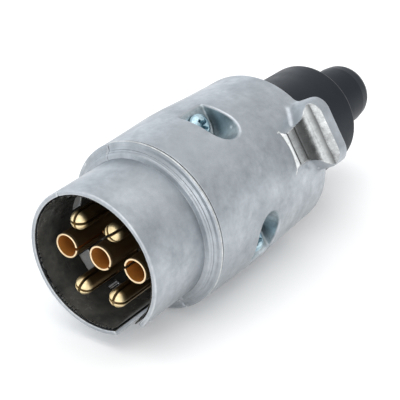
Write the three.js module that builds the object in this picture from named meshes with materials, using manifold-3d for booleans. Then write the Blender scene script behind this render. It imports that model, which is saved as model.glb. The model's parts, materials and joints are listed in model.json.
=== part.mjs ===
// Seven-pole trailer wiring plug with a die-cast metal casing in two halves.
// Millimetres, +Z up. The plug lies on its side along Y: the mouth faces -Y and the cable leaves towards +Y.
//
// Everything is drawn in the plug's own frame first. There Y runs from the barrel's rim (y = 0) to the cable end,
// the latch lug points along +Z, and the two halves of the casing meet on the plane z = 0. The finished group is
// then turned about Y and set down with the middle of its underside on the origin.

import * as THREE from "three";
import { mergeVertices } from "three/addons/utils/BufferGeometryUtils.js";
import Module from "manifold-3d";

const wasm = await Module();
wasm.setup();

// ---------------------------------------------------------------- driving dimensions

const GAP = 0.3; // clearance between pieces that touch
const LEAN = Math.PI / 3; // the lug leans this far from straight up when the plug lies down
const CASING_SIDES = 30;
const SMALL_SIDES = 16;
const WELD = 1e-4;

const BARREL = { radius: 20, wall: 1.25, root: 20.2 };
const BODY = { radius: 24.1, wall: 2.6, rear: 74.1, rearRadius: 22.96, rearWall: 2.4 };
const KEYWAY = { width: 7.3, length: 18 };
const BOOT = { neckRadius: 13.4, boreRadius: 5, end: 122.4 };
const INSERT = { face: 22, rear: 30, sleeveRadius: 18.45, sleeveWall: 1, sleeveFront: 1, flangeRadius: 20.9 };
const CONTACT = { circle: 11, pinRadius: 2.5, tubeRadius: 3.45, tubeBore: 2.9, terminalRadius: 3.8, wireBore: 1.8 };
const TERMINAL_END = 39.3;
const CENTRE_TERMINAL_END = 46;
const SLIT = { width: 0.6, length: 14 };
const POCKET = { x: 15.9, y: 44.5, radius: 5, wall: 2, floor: 10.6 };
const CASING_SCREW = { x: 16.7, headRadius: 3.4, headHeight: 2.1, radius: 1.75, bottom: -12, bossRadius: 3.7 };
const CLAMP = { x: 10.5, y: 62, width: 8, thickness: 1.6, seat: -3, archRadius: 5.3, halfSpan: 14.3 };
const CLAMP_SCREW = { headRadius: 3, headHeight: 1.9, radius: 1.75, bottom: -10, postRadius: 3.6 };
const TERMINAL_SCREW = { headRadius: 2.5, headHeight: 2, radius: 1.5, slot: 0.7 };
const LUG = { halfWidth: 9.9, height: 30.1, root: 14 };

// ---------------------------------------------------------------- finishes

const finish = (color, roughness, metalness) => new THREE.MeshStandardMaterial({ color, roughness, metalness });
const DIE_CAST = finish(0xb0b6bc, 0.45, 0.9);
const BLACK_NYLON = finish(0x232628, 0.25, 0);
const BRASS = finish(0xc8a86a, 0.3, 1);
const BLUE_ZINC = finish(0x8fb0bc, 0.3, 1);
const NICKEL = finish(0xa9a59a, 0.35, 1);
const BLACK_RUBBER = finish(0x232629, 0.55, 0);

// ---------------------------------------------------------------- solids, joins and cuts

/** Turns a closed three.js geometry into a manifold solid whose faces point out. */
function toSolid(geometry) {
  const bare = new THREE.BufferGeometry();
  bare.setAttribute("position", geometry.getAttribute("position").clone());
  bare.setIndex(geometry.getIndex());
  const welded = mergeVertices(bare, WELD);
  const points = welded.getAttribute("position");
  const index = welded.getIndex().array;
  const corners = [new THREE.Vector3(), new THREE.Vector3(), new THREE.Vector3()];
  const triangles = [];
  let volume = 0;
  for (let i = 0; i < index.length; i += 3) {
    const [a, b, c] = [index[i], index[i + 1], index[i + 2]];
    if (a === b || b === c || c === a) continue;
    triangles.push([a, b, c]);
    [a, b, c].forEach((corner, k) => corners[k].fromBufferAttribute(points, corner));
    volume += corners[0].dot(corners[1].cross(corners[2]));
  }
  const outward = volume > 0 ? triangles : triangles.map(([a, b, c]) => [a, c, b]);
  const triVerts = new Uint32Array(outward.flat());
  return new wasm.Manifold(new wasm.Mesh({ numProp: 3, vertProperties: new Float32Array(points.array), triVerts }));
}

function toGeometry(solid) {
  const mesh = solid.getMesh();
  const geometry = new THREE.BufferGeometry();
  geometry.setAttribute("position", new THREE.BufferAttribute(new Float32Array(mesh.vertProperties), 3));
  geometry.setIndex(new THREE.BufferAttribute(new Uint32Array(mesh.triVerts), 1));
  geometry.computeVertexNormals();
  return geometry;
}

const join = (...pieces) => toGeometry(pieces.map(toSolid).reduce((whole, piece) => whole.add(piece)));
const cut = (body, ...tools) => toGeometry(tools.map(toSolid).reduce((rest, tool) => rest.subtract(tool), toSolid(body)));
const overlapOf = (first, ...others) =>
  toGeometry(others.map(toSolid).reduce((shared, other) => shared.intersect(other), toSolid(first)));

// ---------------------------------------------------------------- basic shapes

/** A solid of revolution about Y from [y, radius] points. A profile that misses the axis is closed on itself. */
function revolved(profile, sides = SMALL_SIDES, start = 0) {
  const touchesAxis = profile[0][1] === 0;
  const closed = touchesAxis ? profile : [...profile, profile[0]];
  return new THREE.LatheGeometry(closed.map(([y, radius]) => new THREE.Vector2(radius, y)), sides, start);
}

/** A cylinder about Z, between two heights. */
function upright(x, y, bottom, top, radius, sides = SMALL_SIDES) {
  const shape = new THREE.CylinderGeometry(radius, radius, top - bottom, sides);
  return shape.rotateX(Math.PI / 2).translate(x, y, (bottom + top) / 2);
}

/** A box between two corners. */
function block(low, high) {
  const size = high.map((value, k) => value - low[k]);
  const middle = high.map((value, k) => (value + low[k]) / 2);
  return new THREE.BoxGeometry(...size).translate(...middle);
}

function extruded(shape, depth) {
  return new THREE.ExtrudeGeometry(shape, { depth, bevelEnabled: false, curveSegments: 6 });
}

function outline(points) {
  return new THREE.Shape(points.map(([x, y]) => new THREE.Vector2(x, y)));
}

/** An outline mirrored about its second axis, given its right-hand half from bottom to top. */
function mirrored(half) {
  return outline([...half, ...half.map(([x, y]) => [-x, y]).reverse()]);
}

/** Extrudes an (x, z) outline along Y between two places. */
function alongY(shape, from, to) {
  return extruded(shape, to - from).rotateX(Math.PI / 2).translate(0, to, 0);
}

/** Extrudes an (x, y) outline upwards between two heights. */
function alongZ(shape, from, to) {
  return extruded(shape, to - from).translate(0, 0, from);
}

/** Extrudes a (y, z) outline across X, the same distance to both sides. */
function alongX(shape, halfWidth) {
  return extruded(shape, 2 * halfWidth).rotateX(Math.PI / 2).rotateZ(Math.PI / 2).translate(-halfWidth, 0, 0);
}

// ---------------------------------------------------------------- the casing's two halves

const REVOLVED_START = Math.PI / CASING_SIDES; // puts a facet's corner on the parting plane

/** The casing's outside as a full solid: barrel, stepped collar and crowned body. */
function casingEnvelope() {
  const profile = [
    [0, 0],
    [0, BARREL.radius],
    [BARREL.root, BARREL.radius - 0.05],
    [20.5, 21.2],
    [22, 22.6],
    [22.9, 23.77],
    [28, 23.82],
    [36, 23.99],
    [40, BODY.radius],
    [47, BODY.radius],
    [52, 23.81],
    [60, 23.39],
    [68, 23.05],
    [BODY.rear - 1, BODY.rearRadius],
    [BODY.rear - 0.3, BODY.rearRadius - 0.3],
    [BODY.rear, BODY.rearRadius - 1],
    [BODY.rear, 0],
  ];
  return revolved(profile, CASING_SIDES, REVOLVED_START);
}

/** The casing's inside: barrel bore, the groove that holds the insert, the wiring space and the boot's hole. */
function casingHollow() {
  const bore = BARREL.radius - BARREL.wall;
  const groove = INSERT.flangeRadius + GAP;
  const profile = [
    [-1, 0],
    [-1, bore],
    [24 - GAP, bore],
    [24 - GAP, groove],
    [28 + GAP, groove],
    [28 + GAP, 18.9],
    [31.3, 18.9],
    [31.3, 21.3],
    [44, BODY.radius - BODY.wall],
    [60, 20.8],
    [BODY.rear - BODY.rearWall, 20.4],
    [BODY.rear - BODY.rearWall, BOOT.neckRadius + GAP],
    [BODY.rear + 1, BOOT.neckRadius + GAP],
    [BODY.rear + 1, 0],
  ];
  return revolved(profile, CASING_SIDES, REVOLVED_START);
}

/** The latch lug that the socket's sprung cover hooks over: a stepped catch in front of a raised back wall. */
function latchLug() {
  const side = outline([
    [59.1, LUG.root],
    [59.1, 23.3],
    [60.2, 24.3],
    [61.3, 23.75],
    [64.9, 23.75],
    [65.8, 26.2],
    [67.5, 26.9],
    [68.9, 28.3],
    [70, 30],
    [70.5, LUG.height],
    [BODY.rear, LUG.height],
    [BODY.rear, LUG.root],
  ]);
  const front = mirrored([
    [LUG.halfWidth, LUG.root],
    [LUG.halfWidth, 21],
    [9.25, 25.9],
    [8, 28.1],
    [5.9, 29.4],
    [3.4, LUG.height],
  ]);
  const plan = mirrored([
    [5.2, 58.5],
    [4.5, 60.3],
    [4.5, 61.3],
    [5, 64.9],
    [6, 65.8],
    [7.5, 67.5],
    [LUG.halfWidth, 69.5],
    [LUG.halfWidth, BODY.rear],
  ]);
  const wide = LUG.halfWidth + 1;
  return overlapOf(alongX(side, wide), alongY(front, 58, BODY.rear + 1), alongZ(plan, LUG.root - 1, LUG.height + 1));
}

/** The U-shaped outline of a screw pocket, open to the side of the casing. */
function pocketOutline(side, radius) {
  const shape = new THREE.Shape();
  const outer = side * (BODY.radius + 2);
  const centre = side * POCKET.x;
  shape.moveTo(outer, POCKET.y - radius);
  shape.lineTo(centre, POCKET.y - radius);
  shape.absarc(centre, POCKET.y, radius, -Math.PI / 2, Math.PI / 2, side > 0);
  shape.lineTo(outer, POCKET.y + radius);
  shape.closePath();
  return shape;
}

/** The keyway cut in the barrel's rim on the parting line. */
function keywayCut() {
  const half = KEYWAY.width / 2;
  return block([BARREL.radius - 6, -1, -half], [BARREL.radius + 4, KEYWAY.length, half]);
}

const SIDES = { left: -1, right: 1 };
const FAR = 60;

function upperShell() {
  const envelope = casingEnvelope();
  const bosses = Object.values(SIDES).flatMap((side) => [
    alongZ(pocketOutline(side, POCKET.radius + POCKET.wall), POCKET.floor - POCKET.wall, BODY.radius),
    upright(side * CASING_SCREW.x, POCKET.y, 0, POCKET.floor, CASING_SCREW.bossRadius),
  ]);
  const pockets = Object.values(SIDES).flatMap((side) => [
    alongZ(pocketOutline(side, POCKET.radius), POCKET.floor, BODY.radius + 2),
    upright(side * CASING_SCREW.x, POCKET.y, -1, POCKET.floor + 1, CASING_SCREW.radius + GAP),
  ]);
  const wall = cut(join(envelope, latchLug()), casingHollow());
  const whole = join(wall, overlapOf(join(...bosses), envelope));
  const aboveParting = block([-FAR, -FAR, GAP / 2], [FAR, 3 * FAR, FAR]);
  return overlapOf(cut(whole, ...pockets, keywayCut()), aboveParting);
}

function lowerShell() {
  const envelope = casingEnvelope();
  const posts = Object.values(SIDES).flatMap((side) => [
    upright(side * CASING_SCREW.x, POCKET.y, -FAR, 0, CASING_SCREW.bossRadius),
    upright(side * CLAMP.x, CLAMP.y, -FAR, CLAMP.seat, CLAMP_SCREW.postRadius),
  ]);
  const cableRest = block([-CLAMP.x, CLAMP.y - 2, -FAR], [CLAMP.x, CLAMP.y + 2, -CLAMP.archRadius]);
  const holes = Object.values(SIDES).flatMap((side) => [
    upright(side * CASING_SCREW.x, POCKET.y, CASING_SCREW.bottom - 0.6, 1, CASING_SCREW.radius + GAP),
    upright(side * CLAMP.x, CLAMP.y, CLAMP_SCREW.bottom - 0.6, 1, CLAMP_SCREW.radius + GAP),
  ]);
  const whole = join(cut(envelope, casingHollow()), overlapOf(join(cableRest, ...posts), envelope));
  const belowParting = block([-FAR, -FAR, -FAR], [FAR, 3 * FAR, -GAP / 2]);
  return overlapOf(cut(whole, ...holes, keywayCut()), belowParting);
}

// ---------------------------------------------------------------- contacts and their carrier

/** Turns a shape drawn about +Z to a direction around the plug's axis, clockwise from the lug. */
const aroundAxis = (geometry, angle) => geometry.rotateY(angle);

const CONTACTS = [
  { name: "upper_left", angle: -90, tube: false, slit: 30 },
  { name: "upper_right", angle: -30, tube: false, slit: 24 },
  { name: "right", angle: 30, tube: true, slit: 0 },
  { name: "lower_right", angle: 90, tube: false, slit: 40 },
  { name: "lower_left", angle: 150, tube: false, slit: -11 },
  { name: "left", angle: -150, tube: true, slit: 0 },
  { name: "centre", angle: 0, tube: true, slit: -115, centre: true },
].map((contact) => ({
  ...contact,
  radians: THREE.MathUtils.degToRad(contact.angle),
  circle: contact.centre ? 0 : CONTACT.circle,
  terminalEnd: contact.centre ? CENTRE_TERMINAL_END : TERMINAL_END,
  screwAt: contact.centre ? CENTRE_TERMINAL_END - 3.5 : TERMINAL_END - 4.8,
}));

/** The black moulding: a thick disc that holds the contacts, with a thin sleeve that lines the barrel. */
function contactInsert() {
  const inner = INSERT.sleeveRadius - INSERT.sleeveWall;
  const body = revolved(
    [
      [INSERT.face, 0],
      [INSERT.face, inner],
      [INSERT.sleeveFront, inner],
      [INSERT.sleeveFront, INSERT.sleeveRadius],
      [24, INSERT.sleeveRadius],
      [24, INSERT.flangeRadius],
      [28, INSERT.flangeRadius],
      [28, 18.6],
      [INSERT.rear, 18.6],
      [INSERT.rear, 0],
    ],
    CASING_SIDES,
    REVOLVED_START,
  );
  const holes = CONTACTS.map(({ tube, circle, radians }) => {
    const radius = (tube ? CONTACT.tubeRadius : CONTACT.pinRadius) + GAP;
    const hole = new THREE.CylinderGeometry(radius, radius, 14, SMALL_SIDES).translate(0, 26, circle);
    return aroundAxis(hole, radians);
  });
  return cut(body, ...holes, keywayCut());
}

/** The screw terminal behind a contact, as the rest of its turned profile. */
const terminalProfile = (shank, end) => [
  [INSERT.rear + GAP, shank],
  [INSERT.rear + GAP, CONTACT.terminalRadius],
  [end, CONTACT.terminalRadius],
  [end, CONTACT.wireBore],
  [INSERT.rear + 1.6, CONTACT.wireBore],
  [INSERT.rear + 1.6, 0],
];

function drillTerminal(turned, screwAt) {
  const tapped = upright(0, screwAt, 0.2, CONTACT.terminalRadius + 1, TERMINAL_SCREW.radius + GAP);
  return cut(turned, tapped);
}

/** A pin with a domed nose, sawn crosswise into four springy leaves. */
function pinContact({ terminalEnd, screwAt, slit }) {
  const r = CONTACT.pinRadius;
  const dome = [0, 30, 60, 90].map((degrees) => {
    const turn = THREE.MathUtils.degToRad(degrees);
    return [0.7 + r * (1 - Math.cos(turn)), degrees ? r * Math.sin(turn) : 0];
  });
  const turned = drillTerminal(revolved([...dome, ...terminalProfile(r, terminalEnd)]), screwAt);
  const saws = [slit, slit + 90].map((degrees) => {
    const blade = block([-SLIT.width / 2, -1, -r - 1], [SLIT.width / 2, SLIT.length, r + 1]);
    return blade.rotateY(THREE.MathUtils.degToRad(degrees));
  });
  return cut(turned, ...saws);
}

/** A socket tube with one saw cut along its side. */
function tubeContact({ terminalEnd, screwAt, slit }) {
  const front = 3.3;
  const depth = INSERT.face;
  const profile = [
    [depth, 0],
    [depth, CONTACT.tubeBore],
    [front, CONTACT.tubeBore],
    [front, CONTACT.tubeRadius],
    ...terminalProfile(CONTACT.tubeRadius, terminalEnd),
  ];
  const saw = block([-SLIT.width / 2, 0, -CONTACT.tubeRadius - 1], [SLIT.width / 2, SLIT.length, 0]);
  saw.rotateY(THREE.MathUtils.degToRad(slit));
  return cut(drillTerminal(revolved(profile), screwAt), saw);
}

function buildContact(contact) {
  const shape = contact.tube ? tubeContact(contact) : pinContact(contact);
  return aroundAxis(shape.translate(0, 0, contact.circle), contact.radians);
}

// ---------------------------------------------------------------- screws

/** A screw about +Z with its head's underside at z = 0. The driver recess is cut in the top. */
function screw({ headRadius, headHeight, radius }, length, recess) {
  const profile = [
    [-length, 0],
    [-length, radius],
    [0, radius],
    [0, headRadius],
    [headHeight * 0.55, headRadius],
    [headHeight, headRadius * 0.72],
    [headHeight, 0],
  ];
  return cut(revolved(profile).rotateX(Math.PI / 2), ...recess);
}

/** The cross-shaped recess of a pan head. */
function crossRecess({ headRadius, headHeight }) {
  const arm = headRadius * 0.55;
  const bottom = headHeight * 0.35;
  return [
    block([-arm, -0.45, bottom], [arm, 0.45, headHeight + 1]),
    block([-0.45, -arm, bottom], [0.45, arm, headHeight + 1]),
  ];
}

function casingScrew(side) {
  const underHead = POCKET.floor + GAP;
  const shape = screw(CASING_SCREW, underHead - CASING_SCREW.bottom, crossRecess(CASING_SCREW));
  return shape.translate(side * CASING_SCREW.x, POCKET.y, underHead);
}

function clampScrew(side) {
  const underHead = CLAMP.seat + CLAMP.thickness + 2 * GAP;
  const shape = screw(CLAMP_SCREW, underHead - CLAMP_SCREW.bottom, crossRecess(CLAMP_SCREW));
  return shape.translate(side * CLAMP.x, CLAMP.y, underHead);
}

/** A short slotted screw that presses the bared wire inside a terminal. */
function terminalScrew({ circle, radians, screwAt }) {
  const { headRadius, headHeight, slot } = TERMINAL_SCREW;
  const driverSlot = block([-headRadius - 1, -slot / 2, headHeight * 0.5], [headRadius + 1, slot / 2, headHeight + 1]);
  const length = CONTACT.terminalRadius - CONTACT.wireBore;
  const shape = screw(TERMINAL_SCREW, length, [driverSlot]);
  return aroundAxis(shape.translate(0, screwAt, circle + CONTACT.terminalRadius + GAP), radians);
}

// ---------------------------------------------------------------- cable clamp and boot

/** The bent strap that holds the cable down on the rest in the lower half. */
function cableClamp() {
  const bottom = CLAMP.seat + GAP;
  const top = bottom + CLAMP.thickness;
  const inner = CLAMP.archRadius;
  const outer = inner + CLAMP.thickness;
  const strap = new THREE.Shape();
  strap.moveTo(-CLAMP.halfSpan, bottom);
  strap.lineTo(-inner, bottom);
  strap.lineTo(-inner, 0);
  strap.absarc(0, 0, inner, Math.PI, 0, true);
  strap.lineTo(inner, bottom);
  strap.lineTo(CLAMP.halfSpan, bottom);
  strap.lineTo(CLAMP.halfSpan, top);
  strap.lineTo(outer, top);
  strap.lineTo(outer, 0);
  strap.absarc(0, 0, outer, 0, Math.PI, false);
  strap.lineTo(-outer, top);
  strap.lineTo(-CLAMP.halfSpan, top);
  strap.closePath();
  const holes = Object.values(SIDES).map((side) =>
    upright(side * CLAMP.x, CLAMP.y, bottom - 1, top + 1, CLAMP_SCREW.radius + GAP));
  return cut(alongY(strap, CLAMP.y - CLAMP.width / 2, CLAMP.y + CLAMP.width / 2), ...holes);
}

/** The rubber boot: an inner flange, a neck gripped by the casing's rear wall, a drum and the cable nozzle. */
function rubberBoot() {
  const inside = BODY.rear - BODY.rearWall - GAP;
  const outside = BODY.rear + GAP;
  const profile = [
    [68, 10.8],
    [68, 16.5],
    [inside, 16.5],
    [inside, BOOT.neckRadius],
    [outside, BOOT.neckRadius],
    [outside, 17],
    [84, 16.5],
    [92, 16.1],
    [100.8, 15.95],
    [101.9, 15.5],
    [102.3, 14.6],
    [102.3, 9.5],
    [110, 9.25],
    [118, 9.08],
    [120.8, 8.6],
    [BOOT.end - 0.4, 8.1],
    [BOOT.end, 7.5],
    [BOOT.end, BOOT.boreRadius],
    [105, BOOT.boreRadius],
    [99.5, 12.9],
    [77.5, 13.6],
    [75.6, 10.8],
  ];
  return revolved(profile, CASING_SIDES, REVOLVED_START);
}

// ---------------------------------------------------------------- assembly

const plug = new THREE.Group();

function addPiece(name, geometry, material) {
  const mesh = new THREE.Mesh(geometry, material);
  mesh.name = name;
  plug.add(mesh);
}

addPiece("lower_shell", lowerShell(), DIE_CAST);
addPiece("upper_shell", upperShell(), DIE_CAST);
addPiece("contact_insert", contactInsert(), BLACK_NYLON);
for (const contact of CONTACTS) {
  addPiece(`${contact.tube ? "tube" : "pin"}_${contact.name}`, buildContact(contact), BRASS);
  addPiece(`terminal_screw_${contact.name}`, terminalScrew(contact), NICKEL);
}
for (const [name, side] of Object.entries(SIDES)) {
  addPiece(`casing_screw_${name}`, casingScrew(side), BLUE_ZINC);
  addPiece(`clamp_screw_${name}`, clampScrew(side), BLUE_ZINC);
}
addPiece("cable_clamp", cableClamp(), NICKEL);
addPiece("rubber_boot", rubberBoot(), BLACK_RUBBER);

plug.rotation.y = LEAN;

const trailerPlug = new THREE.Group();
trailerPlug.add(plug);
trailerPlug.updateMatrixWorld(true);
const extent = new THREE.Box3().setFromObject(trailerPlug, true);
const middle = extent.getCenter(new THREE.Vector3());
plug.position.set(-middle.x, -middle.y, -extent.min.z);

export default trailerPlug;
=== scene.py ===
"""The looks of a seven-pole trailer wiring plug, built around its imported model.

Lengths in the classes are millimetres in the plug's own frame: Y runs from the barrel's rim to the cable end, the
latch lug points along +Z and the two halves of the casing meet on z = 0. PlugFrame turns them into the row's metres.
Every shape is either turned from a rounded profile or meshed from a field of signed distances, so that cast and
moulded edges are round and true.
"""

import json
import logging
import math
from dataclasses import dataclass, field
from enum import Enum
from typing import Callable, Sequence

import bpy
import numpy as np
from mathutils import Matrix, Vector


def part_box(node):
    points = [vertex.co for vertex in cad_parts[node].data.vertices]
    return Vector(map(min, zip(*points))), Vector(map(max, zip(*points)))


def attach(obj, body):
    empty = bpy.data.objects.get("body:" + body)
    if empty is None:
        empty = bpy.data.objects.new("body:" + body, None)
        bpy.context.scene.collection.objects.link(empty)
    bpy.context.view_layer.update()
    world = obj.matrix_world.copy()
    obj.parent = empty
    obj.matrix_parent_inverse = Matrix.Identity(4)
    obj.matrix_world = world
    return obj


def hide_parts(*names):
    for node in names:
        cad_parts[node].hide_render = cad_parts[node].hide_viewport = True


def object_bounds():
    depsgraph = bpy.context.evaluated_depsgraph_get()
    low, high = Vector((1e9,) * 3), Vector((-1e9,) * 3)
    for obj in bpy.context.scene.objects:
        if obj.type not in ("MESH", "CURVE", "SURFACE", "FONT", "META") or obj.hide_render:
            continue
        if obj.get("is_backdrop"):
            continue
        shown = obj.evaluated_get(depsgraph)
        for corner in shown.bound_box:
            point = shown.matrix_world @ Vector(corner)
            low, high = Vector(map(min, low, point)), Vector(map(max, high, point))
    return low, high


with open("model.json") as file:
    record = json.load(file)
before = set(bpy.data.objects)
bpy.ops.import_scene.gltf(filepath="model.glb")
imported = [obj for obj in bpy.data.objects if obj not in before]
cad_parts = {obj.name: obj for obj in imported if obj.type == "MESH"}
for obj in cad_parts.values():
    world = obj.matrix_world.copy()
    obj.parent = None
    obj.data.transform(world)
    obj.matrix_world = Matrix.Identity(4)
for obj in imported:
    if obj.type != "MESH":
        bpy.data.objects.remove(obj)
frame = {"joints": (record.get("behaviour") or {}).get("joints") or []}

LOG = logging.getLogger("trailer_plug")
MM = 0.001
PAST_AXIS = -5.0  # a radius beyond the axis, where the outline of a solid of revolution closes unseen
SCREW_GAP = 0.3  # how far the underside of a screw's head stands off its seat
Points = np.ndarray


# ---------------------------------------------------------------- the plug's place in the row


@dataclass(frozen=True)
class PlugFrame:
    """Where the plug's own frame lies in the row."""

    axis: Vector
    lug: Vector

    @classmethod
    def from_cad(cls) -> "PlugFrame":
        """Reads the plug's axis from its middle contact and the lug's direction from the casing's joint.

        Returns:
            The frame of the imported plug.
        """
        low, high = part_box("tube_centre")
        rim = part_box("lower_shell")[0].y
        lift = next(joint for joint in frame["joints"] if joint["name"] == "upper_casing_lift")
        axis = Vector(((low.x + high.x) / 2, rim, (low.z + high.z) / 2))
        return cls(axis, Vector(lift["axis"]).normalized())

    def matrix(self) -> Matrix:
        """Gives the turn and shift from the plug's millimetres to the row's metres.

        Returns:
            The matrix of both and of the change of unit.
        """
        across = Vector((self.lug.z, 0.0, -self.lug.x))
        turn = Matrix((across, Vector((0.0, 1.0, 0.0)), self.lug)).transposed().to_4x4()
        return Matrix.Translation(self.axis) @ turn @ Matrix.Scale(MM, 4)

    def place(self, points: Points) -> Points:
        """Gives points of the plug's frame, one to a row, in metres in the row's frame."""
        matrix = np.array(self.matrix())
        return points @ matrix[:3, :3].T + matrix[:3, 3]


PLUG = PlugFrame.from_cad()


# ---------------------------------------------------------------- shader node groups


class Tree:
    """A thin wrapper that adds nodes and links to one node tree."""

    def __init__(self, tree: bpy.types.NodeTree) -> None:
        """Keeps the tree that it adds to."""
        self.tree = tree

    def add(self, kind: str, **settings: object) -> bpy.types.Node:
        """Adds a node.

        Args:
            kind: The node's Blender type.
            **settings: Properties of the node to set.

        Returns:
            The new node.
        """
        node = self.tree.nodes.new(kind)
        for name, value in settings.items():
            setattr(node, name, value)
        return node

    def feed(self, socket: bpy.types.NodeSocket, value: object) -> None:
        """Links an output to a socket, or sets the socket's own value.

        Args:
            socket: The input.
            value: An output or a plain value.
        """
        if isinstance(value, bpy.types.NodeSocket):
            self.tree.links.new(value, socket)
        else:
            socket.default_value = value

    def math(self, operation: str, *values: object, clamp: bool = False) -> bpy.types.NodeSocket:
        """Combines values or outputs with a math node.

        Args:
            operation: The math node's operation.
            *values: Numbers or outputs for its inputs.
            clamp: Whether the result is held between 0 and 1.

        Returns:
            The result's output.
        """
        node = self.add("ShaderNodeMath", operation=operation, use_clamp=clamp)
        for socket, value in zip(node.inputs, values):
            self.feed(socket, value)
        return node.outputs[0]

    def mix(self, factor: object, first: object, second: object) -> bpy.types.NodeSocket:
        """Mixes two colours.

        Args:
            factor: The second colour's share.
            first: A colour or an output.
            second: A colour or an output.

        Returns:
            The mixed colour's output.
        """
        node = self.add("ShaderNodeMix", data_type="RGBA")
        self.feed(node.inputs[0], factor)
        self.feed(node.inputs[6], first)
        self.feed(node.inputs[7], second)
        return node.outputs[2]

    def spread(self, value: object, low: object, high: object, to_low: object = 0.0,
               to_high: object = 1.0) -> bpy.types.NodeSocket:
        """Maps a range of values onto another, without going past its ends.

        Args:
            value: The output to map.
            low: Its value that gives to_low.
            high: Its value that gives to_high.
            to_low: One end of the result.
            to_high: The other end.

        Returns:
            The result's output.
        """
        node = self.add("ShaderNodeMapRange")
        for socket, number in zip(node.inputs, (value, low, high, to_low, to_high)):
            self.feed(socket, number)
        return node.outputs[0]

    def noise(self, place: object, scale: object, detail: float = 4.0,
              roughness: float = 0.55) -> bpy.types.NodeSocket:
        """Adds three-dimensional noise and gives its value.

        Args:
            place: Where it is sampled.
            scale: Its scale.
            detail: Its octaves.
            roughness: How strong the finer octaves are.

        Returns:
            The noise's output, from 0 to 1.
        """
        node = self.add("ShaderNodeTexNoise")
        self.feed(node.inputs["Vector"], place)
        self.feed(node.inputs["Scale"], scale)
        self.feed(node.inputs["Detail"], detail)
        self.feed(node.inputs["Roughness"], roughness)
        return node.outputs["Fac"]

    def stretched(self, place: object, stretch: Sequence[float]) -> bpy.types.NodeSocket:
        """Scales a place differently along each axis.

        Args:
            place: The place's output.
            stretch: The factor for each axis.

        Returns:
            The scaled place's output.
        """
        node = self.add("ShaderNodeVectorMath", operation="MULTIPLY")
        self.feed(node.inputs[0], place)
        self.feed(node.inputs[1], tuple(stretch))
        return node.outputs[0]


class Effect(Enum):
    """The shared surface effects, each one node group."""

    MOTTLE = "cast_mottle"
    GRAIN = "fine_grain"
    LINES = "tool_lines"
    # This effect also marks hollows for painted shade, besides rubbed edges.
    WEAR_AND_CREVICE_SHADE = "edge_wear"
    SMUDGE = "handling_smudges"


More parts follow.
